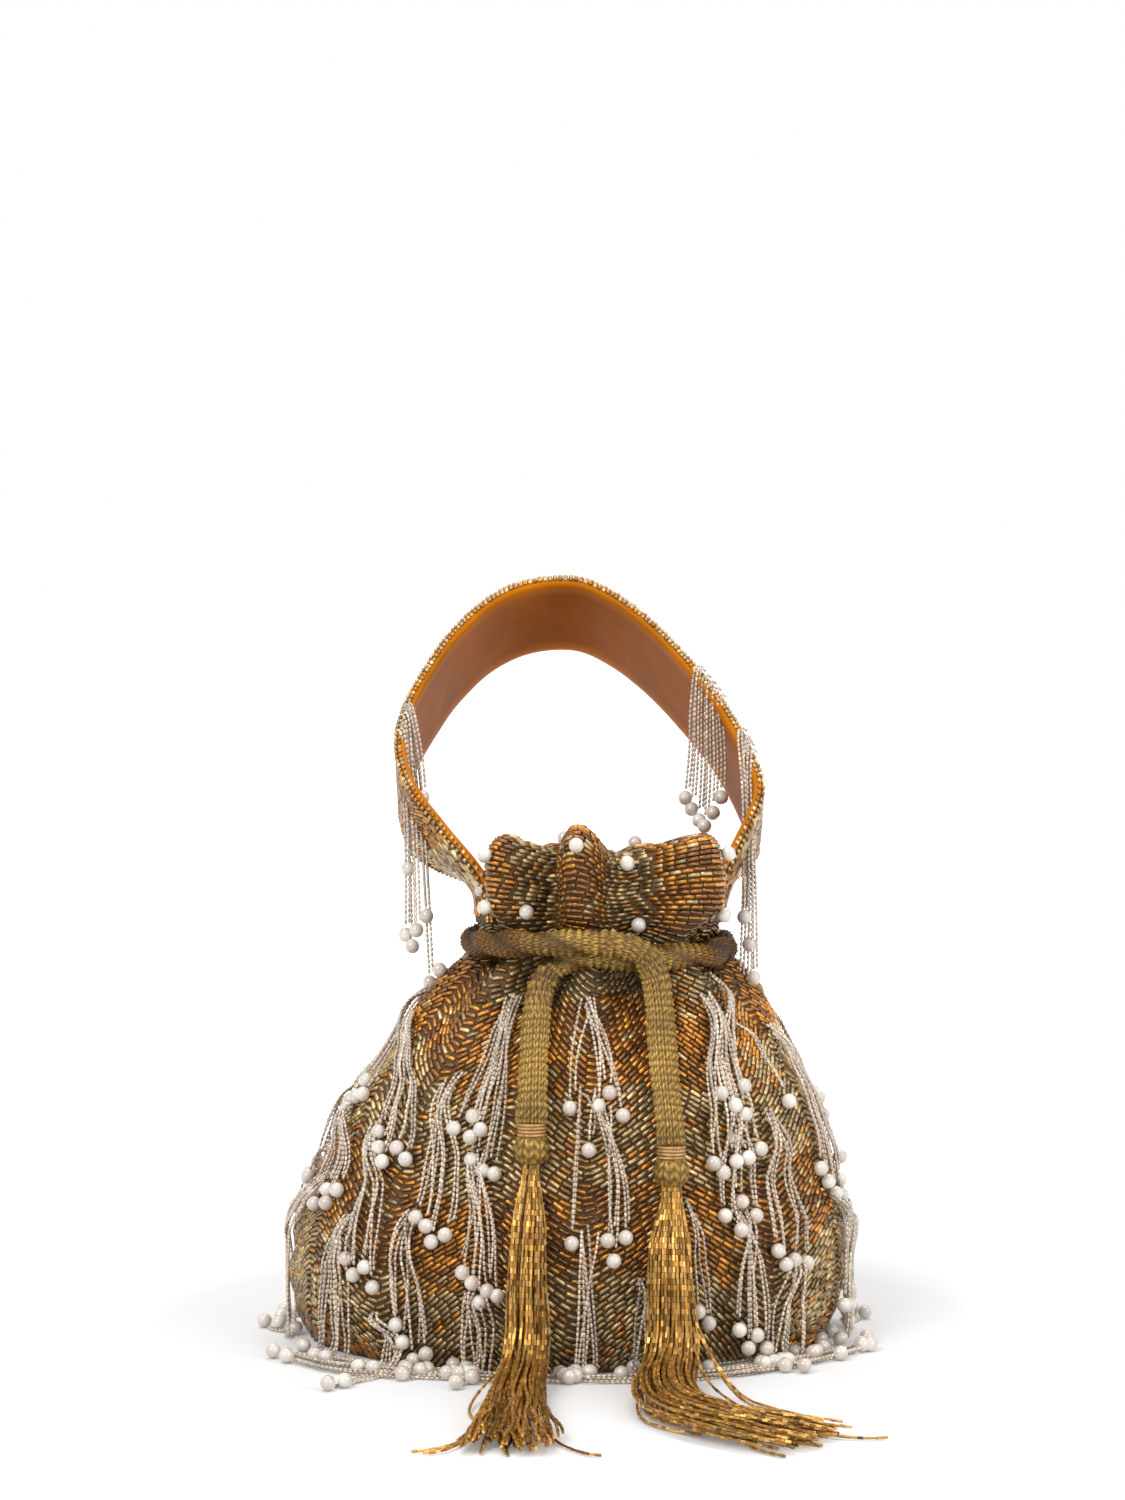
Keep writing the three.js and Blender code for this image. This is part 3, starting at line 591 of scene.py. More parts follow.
class Route:
    """A smooth line through given points, read by its share of length."""

    def __init__(self, points, steps=14):
        points = [Vector(p) for p in points]
        ends = [points[0] * 2 - points[1], *points, points[-1] * 2 - points[-2]]
        self.spots = [points[0]]
        for p0, p1, p2, p3 in zip(ends, ends[1:], ends[2:], ends[3:]):
            gaps = [math.sqrt((b - a).length) for a, b in ((p0, p1), (p1, p2), (p2, p3))]
            leave = ((p1 - p0) / gaps[0] - (p2 - p0) / (gaps[0] + gaps[1]) + (p2 - p1) / gaps[1]) * gaps[1]
            reach = ((p2 - p1) / gaps[1] - (p3 - p1) / (gaps[1] + gaps[2]) + (p3 - p2) / gaps[2]) * gaps[1]
            for i in range(1, steps + 1):
                t = i / steps
                bend = (p2 * 3 - p1 * 3 - leave * 2 - reach) * t**2
                self.spots.append(p1 + leave * t + bend + (p1 * 2 - p2 * 2 + leave + reach) * t**3)
        self.reach = [0.0]
        for a, b in zip(self.spots, self.spots[1:]):
            self.reach.append(self.reach[-1] + (b - a).length)
        self.length = self.reach[-1]

    def at(self, share):
        goal = min(max(share, 0), 1) * self.length
        low, high = 0, len(self.reach) - 1
        while high - low > 1:
            half = (low + high) // 2
            if self.reach[half] <= goal:
                low = half
            else:
                high = half
        span = self.reach[high] - self.reach[low]
        return self.spots[low].lerp(self.spots[high], (goal - self.reach[low]) / span)

    def heading(self, share):
        step = 0.6 / self.length
        return (self.at(min(share + step, 1)) - self.at(max(share - step, 0))).normalized()


def strap_route():
    upright = ROOT_UPRIGHT * HANDLE_RISE
    spots = [
        (NECK_SHIFT - ROOT_OUT, ROOT_HEIGHT),
        (NECK_SHIFT - ROOT_OUT - ROOT_SPREAD[0], ROOT_HEIGHT + upright),
        *[(HANDLE_SHIFT + x * HANDLE_HALF_SPAN, ROOT_HEIGHT + z * HANDLE_RISE) for x, z in HANDLE_CURVE],
        (NECK_SHIFT + ROOT_OUT + ROOT_SPREAD[1], ROOT_HEIGHT + upright),
        (NECK_SHIFT + ROOT_OUT, ROOT_HEIGHT),
    ]
    points = []
    for x, z in spots:
        above = z - ROOT_HEIGHT - LEAN_STARTS * HANDLE_RISE
        eased = above if above > LEAN_BEND else max(above + LEAN_BEND, 0) ** 2 / (4 * LEAN_BEND)
        points.append((x, eased * math.tan(HANDLE_LEAN), z))
    return Route(points)


STRAP_ROUTE = strap_route()


def strap_point(share, sideways, lift):
    """A point of the strap: sideways is towards its front edge, lift is outwards from its middle layer."""
    spot = STRAP_ROUTE.at(share)
    heading = STRAP_ROUTE.heading(share)
    freed = smoothstep(spot.z, ROOT_HEIGHT, ROOT_HEIGHT + ROOT_TWIST * HANDLE_RISE)
    lean = HANDLE_LEAN * freed
    front = Vector((0, -math.cos(lean), math.sin(lean)))
    front = (front - heading * front.dot(heading)).normalized()
    outward = front.cross(heading)
    hug = (1 - freed) * sideways**2 * NECK_HALF_WIDTH * STRAP_HUG / NECK_HALF_DEPTH**2
    return spot + front * sideways + outward * (lift - hug)


def pattern_scale(width):
    """A texture's scale for a pattern that repeats every width, in millimetres."""
    return 1 / (width * MM)


def set_sockets(tree, node, sockets):
    """Gives each socket its value, or links it where the value is another node's output."""
    for key, value in sockets.items():
        if isinstance(value, bpy.types.NodeSocket):
            tree.links.new(value, node.inputs[key])
        else:
            node.inputs[key].default_value = value


def add(tree, kind, sockets=None, stops=None, **settings):
    """Adds a node with its settings and sockets; stops are a ramp's places and colours."""
    node = tree.nodes.new(kind)
    for key, value in settings.items():
        setattr(node, key, value)
    set_sockets(tree, node, sockets or {})
    if stops:
        ramp = node.color_ramp.elements
        while len(ramp) < len(stops):
            ramp.new(0.5)
        for element, (place, tone) in zip(ramp, stops):
            element.position = place
            element.color = (*tone, 1)
    return node


def new_material(name):
    """A material with its shader, ready for sockets, and its tree."""
    made = bpy.data.materials.new(name)
    made.use_nodes = True
    return made, made.node_tree, made.node_tree.nodes["Principled BSDF"]


def shade(tone, factor):
    return tuple(c * factor for c in tone)


def lined_glass():
    """Silver-lined glass, cut and fire polished: a metal glint beneath a hard clear skin."""
    made, tree, shader = new_material("lined_glass_beads")
    # the tint holds each bead's colour; on the pouch's beads it carries painted shade and a painted highlight
    tint = add(tree, "ShaderNodeAttribute", attribute_name="tint")
    place = add(tree, "ShaderNodeTexCoord")
    # clouds a few beads wide, where dye and lining vary
    cloud = add(tree, "ShaderNodeTexNoise", {
        "Vector": place.outputs["Object"], "Scale": pattern_scale(6.25), "Detail": 3.0,
    })
    tone = add(tree, "ShaderNodeMapRange", {
        "Value": cloud.outputs["Fac"], "From Min": 0.3, "From Max": 0.7, "To Min": 0.72, "To Max": 1.28,
    })
    dye_and_painted_light = add(tree, "ShaderNodeVectorMath", {0: tint.outputs["Color"], "Scale": tone.outputs["Result"]},
               operation="SCALE")
    set_sockets(tree, shader, {
        "Base Color": dye_and_painted_light.outputs["Vector"], "Metallic": 0.65, "Roughness": 0.3, "Coat Weight": 0.35,
        "Coat Roughness": 0.12,
    })
    return made


def clear_seed():
    """Clear glass with a pale lining, tumbled: bright, slightly pink, with a fine sparkle."""
    made, tree, shader = new_material("clear_lined_seed_beads")
    tint = add(tree, "ShaderNodeAttribute", attribute_name="tint")
    set_sockets(tree, shader, {
        "Base Color": tint.outputs["Color"], "Metallic": 0.15, "Roughness": 0.22, "Coat Weight": 0.8,
        "Coat Roughness": 0.05,
    })
    return made


def pearl_lacquer(colours):
    """Pearl lacquer over a moulded ball: soft white with a faint pink and cream cloud under a clear skin."""
    made, tree, shader = new_material("pearl_lacquer")
    place = add(tree, "ShaderNodeTexCoord")
    # clouds about a pearl wide, so that no two pearls match
    cloud = add(tree, "ShaderNodeTexNoise", {
        "Vector": place.outputs["Object"], "Scale": pattern_scale(7.143), "Detail": 1.0,
    })
    ramp = add(tree, "ShaderNodeValToRGB", {"Fac": cloud.outputs["Fac"]},
               stops=[(0.3, linear("CDBDB2")), (0.5, tuple(colours.pearl)), (0.7, linear("EFE9DE"))])
    set_sockets(tree, shader, {
        "Base Color": ramp.outputs["Color"], "Roughness": 0.24, "Coat Weight": 1.0, "Coat Roughness": 0.06,
    })
    return made


def zari_knit():
    """Metallised yarn, knitted, with fine threads: its colour carries a painted highlight, gilt, on the raised
    stitches and painted shade, brown, in the gaps.
    """
    made, tree, shader = new_material("zari_knitted_yarn")
    tint = add(tree, "ShaderNodeAttribute", attribute_name="tint")
    place = add(tree, "ShaderNodeTexCoord")
    # threads 0.4 mm apart, coarser than the real 0.2 mm so that they show
    fine = add(tree, "ShaderNodeTexNoise", {
        "Vector": place.outputs["Object"], "Scale": pattern_scale(0.4), "Detail": 2.0,
    })
    bump = add(tree, "ShaderNodeBump", {
        "Height": fine.outputs["Fac"], "Strength": 0.35, "Distance": 0.4 * MM,
    })
    set_sockets(tree, shader, {
        "Base Color": tint.outputs["Color"], "Normal": bump.outputs["Normal"], "Metallic": 0.45,
        "Roughness": 0.42,
    })
    return made


def satin(colours, name, turned_edges=False):
    """Polyester satin, woven: a smooth face that shines across its long floats, with soft creases."""
    made, tree, shader = new_material(name)
    place = add(tree, "ShaderNodeTexCoord")
    base = tuple(colours.satin)
    # shading clouds 25 mm wide, as the cloth lies closer or looser on what backs it
    cloud = add(tree, "ShaderNodeTexNoise", {
        "Vector": place.outputs["Object"], "Scale": pattern_scale(25), "Detail": 2.0,
    })
    dye_and_painted_light = add(tree, "ShaderNodeValToRGB", {"Fac": cloud.outputs["Fac"]},
               stops=[(0.3, shade(base, 0.8)), (0.7, shade(base, 1.15))]).outputs["Color"]
    if turned_edges:
        # painted highlight on the turned edge, which is drawn tight and shines
        across = add(tree, "ShaderNodeSeparateXYZ", {"Vector": place.outputs["UV"]})
        plain, near_edge, at_edge = (1, 1, 1), (1.6, 1.8, 1.6), (2.0, 2.4, 2.2)
        edge = add(tree, "ShaderNodeValToRGB", {"Fac": across.outputs["X"]}, stops=[
            (0, at_edge), (0.09, near_edge), (0.2, plain), (0.8, plain), (0.91, near_edge), (1, at_edge),
        ])
        dye_and_painted_light = add(tree, "ShaderNodeVectorMath", {0: dye_and_painted_light, 1: edge.outputs["Color"]},
                   operation="MULTIPLY").outputs["Vector"]
    # floats about 1.2 mm apart along the strap, coarser than the real 0.15 mm so that they show
    floats = add(tree, "ShaderNodeTexWave", {"Vector": place.outputs["UV"], "Scale": 90.0, "Distortion": 1.5},
                 bands_direction="Y")
    bump = add(tree, "ShaderNodeBump", {
        "Height": floats.outputs["Fac"], "Strength": 0.12, "Distance": 0.3 * MM,
    })
    set_sockets(tree, shader, {
        "Base Color": dye_and_painted_light, "Normal": bump.outputs["Normal"], "Roughness": 0.5,
        "Specular Tint": (1, 0.55, 0.12, 1), "Specular IOR Level": 0.15, "Anisotropic": 0.4,
    })
    return made


def ground_cloth(colours, name="ground_cloth"):
    """Plain woven cotton in a dark dye: dull, with its threads just visible between the beads."""
    made, tree, shader = new_material(name)
    place = add(tree, "ShaderNodeTexCoord")
    base = tuple(colours.cloth)
    # threads 0.6 mm apart, about twice the real spacing so that they show
    weave = add(tree, "ShaderNodeTexVoronoi", {
        "Vector": place.outputs["Object"], "Scale": pattern_scale(0.625),
    })
    ramp = add(tree, "ShaderNodeValToRGB", {"Fac": weave.outputs["Distance"]},
               stops=[(0.1, shade(base, 1.3)), (0.6, shade(base, 0.55))])
    bump = add(tree, "ShaderNodeBump", {
        "Height": weave.outputs["Distance"], "Strength": 0.4, "Distance": 0.4 * MM,
    })
    set_sockets(tree, shader, {
        "Base Color": ramp.outputs["Color"], "Normal": bump.outputs["Normal"], "Roughness": 0.85,
    })
    return made


def gilt_strand():
    """Gilt metal thread strung with cut beads: warm gold with many small hard glints."""
    made, tree, shader = new_material("gilt_beaded_strand")
    tint = add(tree, "ShaderNodeAttribute", attribute_name="tint")
    set_sockets(tree, shader, {"Base Color": tint.outputs["Color"], "Metallic": 0.6, "Roughness": 0.32})
    return made


MADE_MATERIALS = {}


def material(name, make):
    """The material of that name, made at its first use."""
    if name not in MADE_MATERIALS:
        MADE_MATERIALS[name] = make()
    return MADE_MATERIALS[name]


def finish_piece(name, bm, finish, slot, replaces=(), sharp=None, tints=None):
    """Turns a bmesh in millimetres into a piece in metres that rides on the bag."""
    bmesh.ops.scale(bm, vec=(MM, MM, MM), verts=bm.verts)
    mesh = bpy.data.meshes.new(name)
    bm.to_mesh(mesh)
    bm.free()
    mesh.shade_smooth()
    if sharp:
        mesh.set_sharp_from_angle(angle=math.radians(sharp))
    if tints:
        layer = mesh.attributes.new("tint", "FLOAT_COLOR", "POINT")
        layer.data.foreach_set("color", tints)
    mesh.materials.append(finish)
    piece = bpy.data.objects.new(name, mesh)
    bpy.context.scene.collection.objects.link(piece)
    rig.ride(piece, "root")
    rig.slot(piece, slot)
    if replaces:
        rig.replaces(piece, *replaces)
    return piece


def give_wall(piece, thickness, offset):
    """Makes a sheet as thick as cloth, inwards where offset is -1 and to both sides where it is 0."""
    wall = piece.modifiers.new("wall", "SOLIDIFY")
    wall.thickness = thickness * MM
    wall.offset = offset


def surface(across_steps, along_steps, place, closed=False, tone_at=None):
    """A grid that place(across, lengthwise) shapes, both from 0 to 1; closed joins its two long sides."""
    bm = bmesh.new()
    bm.loops.layers.uv.new("UVMap")
    bmesh.ops.create_grid(bm, x_segments=across_steps, y_segments=along_steps, size=0.5, calc_uvs=True)
    tint = bm.verts.layers.float_color.new("tint") if tone_at else None
    for vert in bm.verts:
        across, lengthwise = vert.co.x + 0.5, vert.co.y + 0.5
        vert.co = place(across, lengthwise)
        if tone_at:
            vert[tint] = (*tone_at(across, lengthwise, vert.co), 1)
    if closed:
        bmesh.ops.remove_doubles(bm, verts=bm.verts, dist=1e-4)
    return bm


def point_out(bm):
    """Turns every face of a closed shape outwards."""
    bmesh.ops.recalc_face_normals(bm, faces=bm.faces)


def close_ends(bm):
    """Fills a tube's two open ends."""
    bmesh.ops.holes_fill(bm, edges=[edge for edge in bm.edges if edge.is_boundary], sides=0)
    point_out(bm)


def bugle(length, width, softened=True):
    """A cut bead along Z, with softened ends where it is seen close."""
    bm = bmesh.new()
    bmesh.ops.create_cone(bm, cap_ends=True, segments=5, radius1=width / 2, radius2=width / 2, depth=length)
    if softened:
        rims = [edge for edge in bm.edges if abs(edge.verts[0].co.z - edge.verts[1].co.z) < 1e-5]
        bmesh.ops.bevel(bm, geom=rims, offset=width * 0.16, segments=1, affect="EDGES", profile=0.5,
                        material=-1)
    return bm


def ball(width, around=10, rings=7):
    bm = bmesh.new()
    bmesh.ops.create_uvsphere(bm, u_segments=around, v_segments=rings, radius=width / 2)
    return bm


def strew(name, template, places, finish, slot, replaces=(), sharp=None):
    """A piece made of copies of a template, one for each (matrix, tone)."""
    work = bpy.data.meshes.new("work")
    out = bmesh.new()
    tints = []
    count = len(template.verts)
    for matrix, tone in places:
        template.to_mesh(work)
        work.transform(matrix)
        out.from_mesh(work)
        tints += [*tone, 1.0] * count
    bpy.data.meshes.remove(work)
    template.free()
    return finish_piece(name, out, finish, slot, replaces, sharp, tints)


def bead_matrix(spot, heading, out, turn=0.0):
    """Puts a bead's Z along heading and its X out of the surface, turned about its own Z."""
    z_axis = heading.normalized()
    y_axis = z_axis.cross(out).normalized()
    x_axis = y_axis.cross(z_axis)
    axes = Matrix((x_axis, y_axis, z_axis)).transposed().to_4x4()
    return Matrix.Translation(spot) @ axes @ Matrix.Rotation(turn, 4, "Z")


def on_floor(spot, heading, length, width):
    """The height of a bead's middle, raised where the bead would pass through the floor."""
    upright = min(abs(heading.normalized().z), 1)
    return max(spot.z, length / 2 * upright + width / 2 * math.sqrt(1 - upright**2))


def varied(tone, draw, spread=0.25):
    """A tone made lighter or darker by chance."""
    factor = math.exp(draw.gauss(0, spread))
    return tuple(min(c * factor, 1) for c in tone)


def picked_tone(blend, colours, draw):
    """The tone of a bead drawn from a blend."""
    chance = draw.random()
    name = next(name for share, name in BLENDS[blend] if chance < share)
    return tuple(getattr(colours, name))


def in_ranges(value, ranges):
    return any(low <= value <= high for low, high in ranges)


def is_gold(angle, height):
    """Whether the beads at that place are gold and bronze rather than silver."""
    if height > NECK_HEIGHT + 3:
        degrees = (math.degrees(angle) + 90) % 360 - 90
        return not in_ranges(degrees, RUFFLE_SILVER)
    centre = GOLD_HEIGHT - 8 * math.cos(2 * angle) + 5 * math.sin(5 * angle + 1)
    return math.cos(TURN * (height - centre) / GOLD_SPACING) > 0.05


def bead_tone(angle, height, draw, colours):
    tone = picked_tone("gold zone" if is_gold(angle, height) else "silver zone", colours, draw)
    # painted shade and painted highlight multiplied into the picked bead colour
    return varied(shade(tone, painted_bead_light(angle, height)), draw)


def painted_bead_light(angle, height):
    """How much painted light is multiplied into the beads' colour: painted shade at the foot, in the gathers and
    between the ruffle's lobes, and a painted highlight on the shoulders below the drawstring.
    """
    foot = mix(0.72, 1, smoothstep(height, 5, 60))
    gathers = 1 - 0.4 * window(height, (120, 134, 150, 162))
    shoulder = 1 + 0.22 * window(height, (85, 102, 116, 126))
    hollow = mix(0.7, 1, smoothstep(lobe_at(angle)[0], -VALLEY, 3)) if height > NECK_HEIGHT else 1
    return foot * gathers * shoulder * hollow


def row_height(angle, level):
    """The height of a row of beads: V shapes on the pouch, arches that follow the rim on the ruffle."""
    arch = lobe_at(angle)[1] * smoothstep(level, NECK_HEIGHT, RIM_HEIGHT)
    girth = BELLY_HALF_WIDTH * (0.42 + 0.58 * along(BELLY_CURVE, min(max(level / NECK_HEIGHT, 0), 1)))
    flat = 0.85 * smoothstep(level, NECK_HEIGHT - 8, NECK_HEIGHT + 12)
    steep = (0.85 + 0.2 * math.cos(0.05 * level)) * (1 - flat)
    zigzag = math.asin(0.96 * math.cos(ZIGZAGS * (angle - 0.03) + 0.25 * math.sin(3 * angle)))
    return level + arch - ZIGZAG_DEPTH * girth * steep * zigzag


def row_point(angle, level, out=0.0):
    return pouch_point(angle, row_height(angle, level), out)


def pouch_rows(sizes, colours, draw):
    """Every bugle bead on the pouch: its matrix, tone and angle."""
    length, width = sizes.bugle_length / MM, sizes.bugle_width / MM
    pitch = length + BEAD_GAP
    placed = []
    level = LOWEST_ROW
    while level < RIM_HEIGHT + ROWS_PAST_RIM:
        angle = draw.random() * 0.1
        end = angle + TURN
        while angle < end:
            here = row_point(angle, level, -width / 2)
            speed = (row_point(angle + 0.01, level, -width / 2) - here).length / 0.01
            half = pitch / speed / 2
            middle = angle + half
            z = row_height(middle, level)
            angle += 2 * half
            if not 1.2 < z < rim_end(middle) - 1.5 or speed < 1:
                continue
            before, after = row_point(middle - half, level), row_point(middle + half, level)
            spot = pouch_point(middle, z, -width / 2 + draw.uniform(-0.15, 0.15))
            heading = after - before + Vector((draw.gauss(0, 0.25), draw.gauss(0, 0.25), draw.gauss(0, 0.25)))
            spot.z = on_floor(spot, heading, length, width)
            matrix = bead_matrix(spot, heading, pouch_normal(middle, z), draw.random() * TURN)
            placed.append((matrix, bead_tone(middle, z, draw, colours), (middle + math.pi) % TURN - math.pi))
        level += sizes.row_spacing / MM * (1 if level < NECK_HEIGHT else RUFFLE_ROWS_CLOSER)
    return placed


def seed_bead(width):
    """A tiny cut bead, a little longer than wide, along Z."""
    bm = ball(width, 5, 3)
    bmesh.ops.scale(bm, vec=(1, 1, SEED_STRETCH), verts=bm.verts)
    return bm


def strand_bead(length, width):
    """A square cut bead along Z."""
    bm = bmesh.new()
    bmesh.ops.create_cone(bm, cap_ends=True, segments=4, radius1=width / 2, radius2=width / 2, depth=length)
    return bm


def string_of_beads(points, pitch):
    """Spots and headings every pitch along a line."""
    route = Route(points, steps=6)
    count = max(int(route.length / pitch), 1)
    for i in range(count):
        share = (i + 0.5) * pitch / route.length
        yield route.at(share), route.heading(share)


def wall_string(top, end, draw, thickness):
    """The points of a string that lies on the pouch's wall and hangs clear below its widest part."""
    (top_angle, top_z), (end_angle, end_z) = top, end
    points = []
    steps = 8
    sway = draw.uniform(-1.2, 1.2)
    for i in range(steps + 1):
        t = i / steps
        z = mix(top_z, end_z, t)
        angle = math.radians(mix(top_angle, end_angle, 1 - (1 - t) ** 2.1))
        out = 0.3 + thickness + STRING_ARCH * window(t, (0, 0.13, 0.13, 0.55))
        out += 0.9 * math.sin(t * math.pi) ** 0.7 + 1.4 * t
        point = pouch_point(angle + math.radians(sway * math.sin(t * math.pi)), max(z, WIDEST_HEIGHT), out)
        point.z = z
        points.append(point)
    return points


def floor_string(top, end, draw, thickness):
    """The points of a string that comes down the wall and runs out over the floor."""
    angle = math.degrees(math.atan2(end[0] / BELLY_HALF_WIDTH, -end[1] / BELLY_HALF_DEPTH))
    angle = top[0] + (angle - top[0] + 180) % 360 - 180
    down = wall_string(top, (mix(top[0], angle, 0.7), 7), draw, thickness)
    foot = down[-1]
    goal = Vector((end[0], end[1], thickness))
    low = foot.lerp(goal, 0.22)
    low.z = thickness * 1.3
    side = Vector((-(goal - foot).y, (goal - foot).x, 0)).normalized() * draw.uniform(-2.5, 2.5)
    return [*down[:-1], foot, low, low.lerp(goal, 0.5) + side, goal]


def strap_string(share, end, thickness):
    """The points of a string that is sewn to the strap's front edge and hangs down."""
    root = strap_point(share, STRAP_WIDTH / 2 - 1, STRAP_WALL / 2 + thickness)
    edge = strap_point(share, STRAP_WIDTH / 2 + 1.6, 0.5)
    end = Vector(end)
    hang = Vector((mix(edge.x, end.x, 0.5), mix(edge.y, end.y, 0.6), edge.z - 0.3 * (edge.z - end.z)))
    return [root, edge, hang, hang.lerp(end, 0.5) + Vector((0.4, 0, 0)), end]


def bead_strings(lines, bare_lines, sizes, colours, draw):
    """Seed beads for every line and a pearl at the end of each that isn't bare, as places to strew."""
    width = sizes.seed_width / MM
    pearl = sizes.pearl_width / MM
    seeds, pearls = [], []
    for points in [*lines, *bare_lines]:
        tone = varied(tuple(colours.seed_bead), draw, 0.16)
        for spot, heading in string_of_beads(points, width * SEED_PITCH):
            spot.z = on_floor(spot, heading, width * SEED_STRETCH, width)
            seeds.append((bead_matrix(spot, heading, BEAD_SIDE), varied(tone, draw, 0.16)))
    for points in lines:
        heading = (points[-1] - points[-2]).normalized()
        spot = points[-1] + heading * pearl / 2
        spot.z = max(spot.z, pearl / 2)
        pearls.append((bead_matrix(spot, heading, BEAD_SIDE), (1, 1, 1)))
    return seeds, pearls


def make_fringe(name, lines, bare_lines, replaces, context, seed):
    """A set of bead strings and their pearls, as two pieces."""
    sizes, colours = context.scene.potli_sizes, context.scene.potli_colours
    seeds, pearls = bead_strings(lines, bare_lines, sizes, colours, random.Random(seed))
    strew(f"{name}_strings", seed_bead(sizes.seed_width / MM), seeds, material("seed", clear_seed),
          "bead_string", replaces)
    strew(f"{name}_pearls", ball(sizes.pearl_width / MM), pearls,
          material("pearl", lambda: pearl_lacquer(colours)), "bead_string")


def fringe_nodes(numbers):
    return [f"fringe_{n:02d}" for n in numbers]


def stitch_relief(lengthwise, column, stitch=2.8):
    """Height of a knitted stitch from 0 to 1, at a length in millimetres and a count of stitch columns."""
    across = column % 1 * 2 - 1
    leg = 0.5 + 0.5 * math.cos(TURN * (lengthwise / stitch - 0.75 * abs(across)))
    return (0.2 + 0.8 * leg) * (1 - 0.9 * abs(across) ** 6) * (0.3 + 0.7 * min(abs(across) * 3, 1))


class POTLI_OT_stage(bpy.types.Operator):
    """Sets up the camera, the floor, the lamps and the world"""

    bl_idname = "potli.stage"
    bl_label = "Camera, floor and light"

    def execute(self, context):
        make_camera(context)
        make_floor(context)
        make_lamps(context)
        make_world(context)
        context.scene.view_settings.view_transform = "Standard"
        return {"FINISHED"}


def make_camera(context):
    data = bpy.data.cameras.new("camera")
    camera = bpy.data.objects.new("camera", data)
    context.scene.collection.objects.link(camera)
    camera.location = Vector(EYE) * MM
    pitch = math.atan((PICTURE_HEIGHT / 2 - HORIZON_ROW) / FOCAL_PIXELS)
    camera.rotation_euler = (math.pi / 2 - pitch, 0, 0)
    data.sensor_width = 36
    data.lens = data.sensor_width * FOCAL_PIXELS / PICTURE_HEIGHT
    data.clip_end = 50
    context.scene.camera = camera


def seen_directly(tree):
    """1 for a ray that shows the background: from the camera, a gloss or a clear body."""
    path = add(tree, "ShaderNodeLightPath")
    first = add(tree, "ShaderNodeMath", {0: path.outputs["Is Camera Ray"], 1: path.outputs["Is Glossy Ray"]},
                operation="MAXIMUM")
    return add(tree, "ShaderNodeMath", {0: first.outputs[0], 1: path.outputs["Is Transmission Ray"]},
               operation="MAXIMUM").outputs[0]


def make_floor(context):
    """Matt white paper, which keeps the bag's shadow."""
    bm = bmesh.new()
    bmesh.ops.create_grid(bm, x_segments=1, y_segments=1, size=8)
    mesh = bpy.data.meshes.new("floor")
    bm.to_mesh(mesh)
    bm.free()
    floor = bpy.data.objects.new("floor", mesh)
    context.scene.collection.objects.link(floor)
    made, tree, shader = new_material("matt_white_paper")
    # the paper is lit less far from the bag, which the glow makes up for
    place = add(tree, "ShaderNodeTexCoord")
    away = add(tree, "ShaderNodeVectorMath", {0: place.outputs["Object"]}, operation="LENGTH")
    level = add(tree, "ShaderNodeMapRange", {
        "Value": away.outputs["Value"], "From Min": 0.15, "From Max": 0.42, "To Min": 0.13, "To Max": 1.0,
    })
    glow = add(tree, "ShaderNodeMath", {0: seen_directly(tree), 1: level.outputs["Result"]},
               operation="MULTIPLY")
    set_sockets(tree, shader, {
        "Base Color": (0.7, 0.7, 0.7, 1), "Roughness": 0.9, "Specular IOR Level": 0.1,
        "Emission Color": (1, 1, 1, 1), "Emission Strength": glow.outputs[0],
    })
    mesh.materials.append(made)
    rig.stage(floor)


def make_lamps(context):
    lamps = [
        ("key", (-0.9, -1.3, 1.5), 1.1, 24),
        ("fill", (1.3, -1.0, 0.9), 1.2, 12),
        ("top", (0.1, 0.4, 1.7), 1.2, 14),
    ]
    for name, place, width, power in lamps:
        data = bpy.data.lights.new(name, "AREA")
        data.size = width
        data.energy = power
        lamp = bpy.data.objects.new(name, data)
        lamp.location = place
        lamp.rotation_euler = (Vector((0, 0, 0.12)) - Vector(place)).to_track_quat("-Z", "Y").to_euler()
        context.scene.collection.objects.link(lamp)


def make_world(context):
    world = bpy.data.worlds.new("studio")
    world.use_nodes = True
    tree = world.node_tree
    background = tree.nodes["Background"]
    background.inputs["Color"].default_value = (1, 1, 1, 1)
    strength = add(tree, "ShaderNodeMapRange", {"Value": seen_directly(tree), "To Min": 0.5, "To Max": 1.0})
    tree.links.new(strength.outputs["Result"], background.inputs["Strength"])
    context.scene.world = world


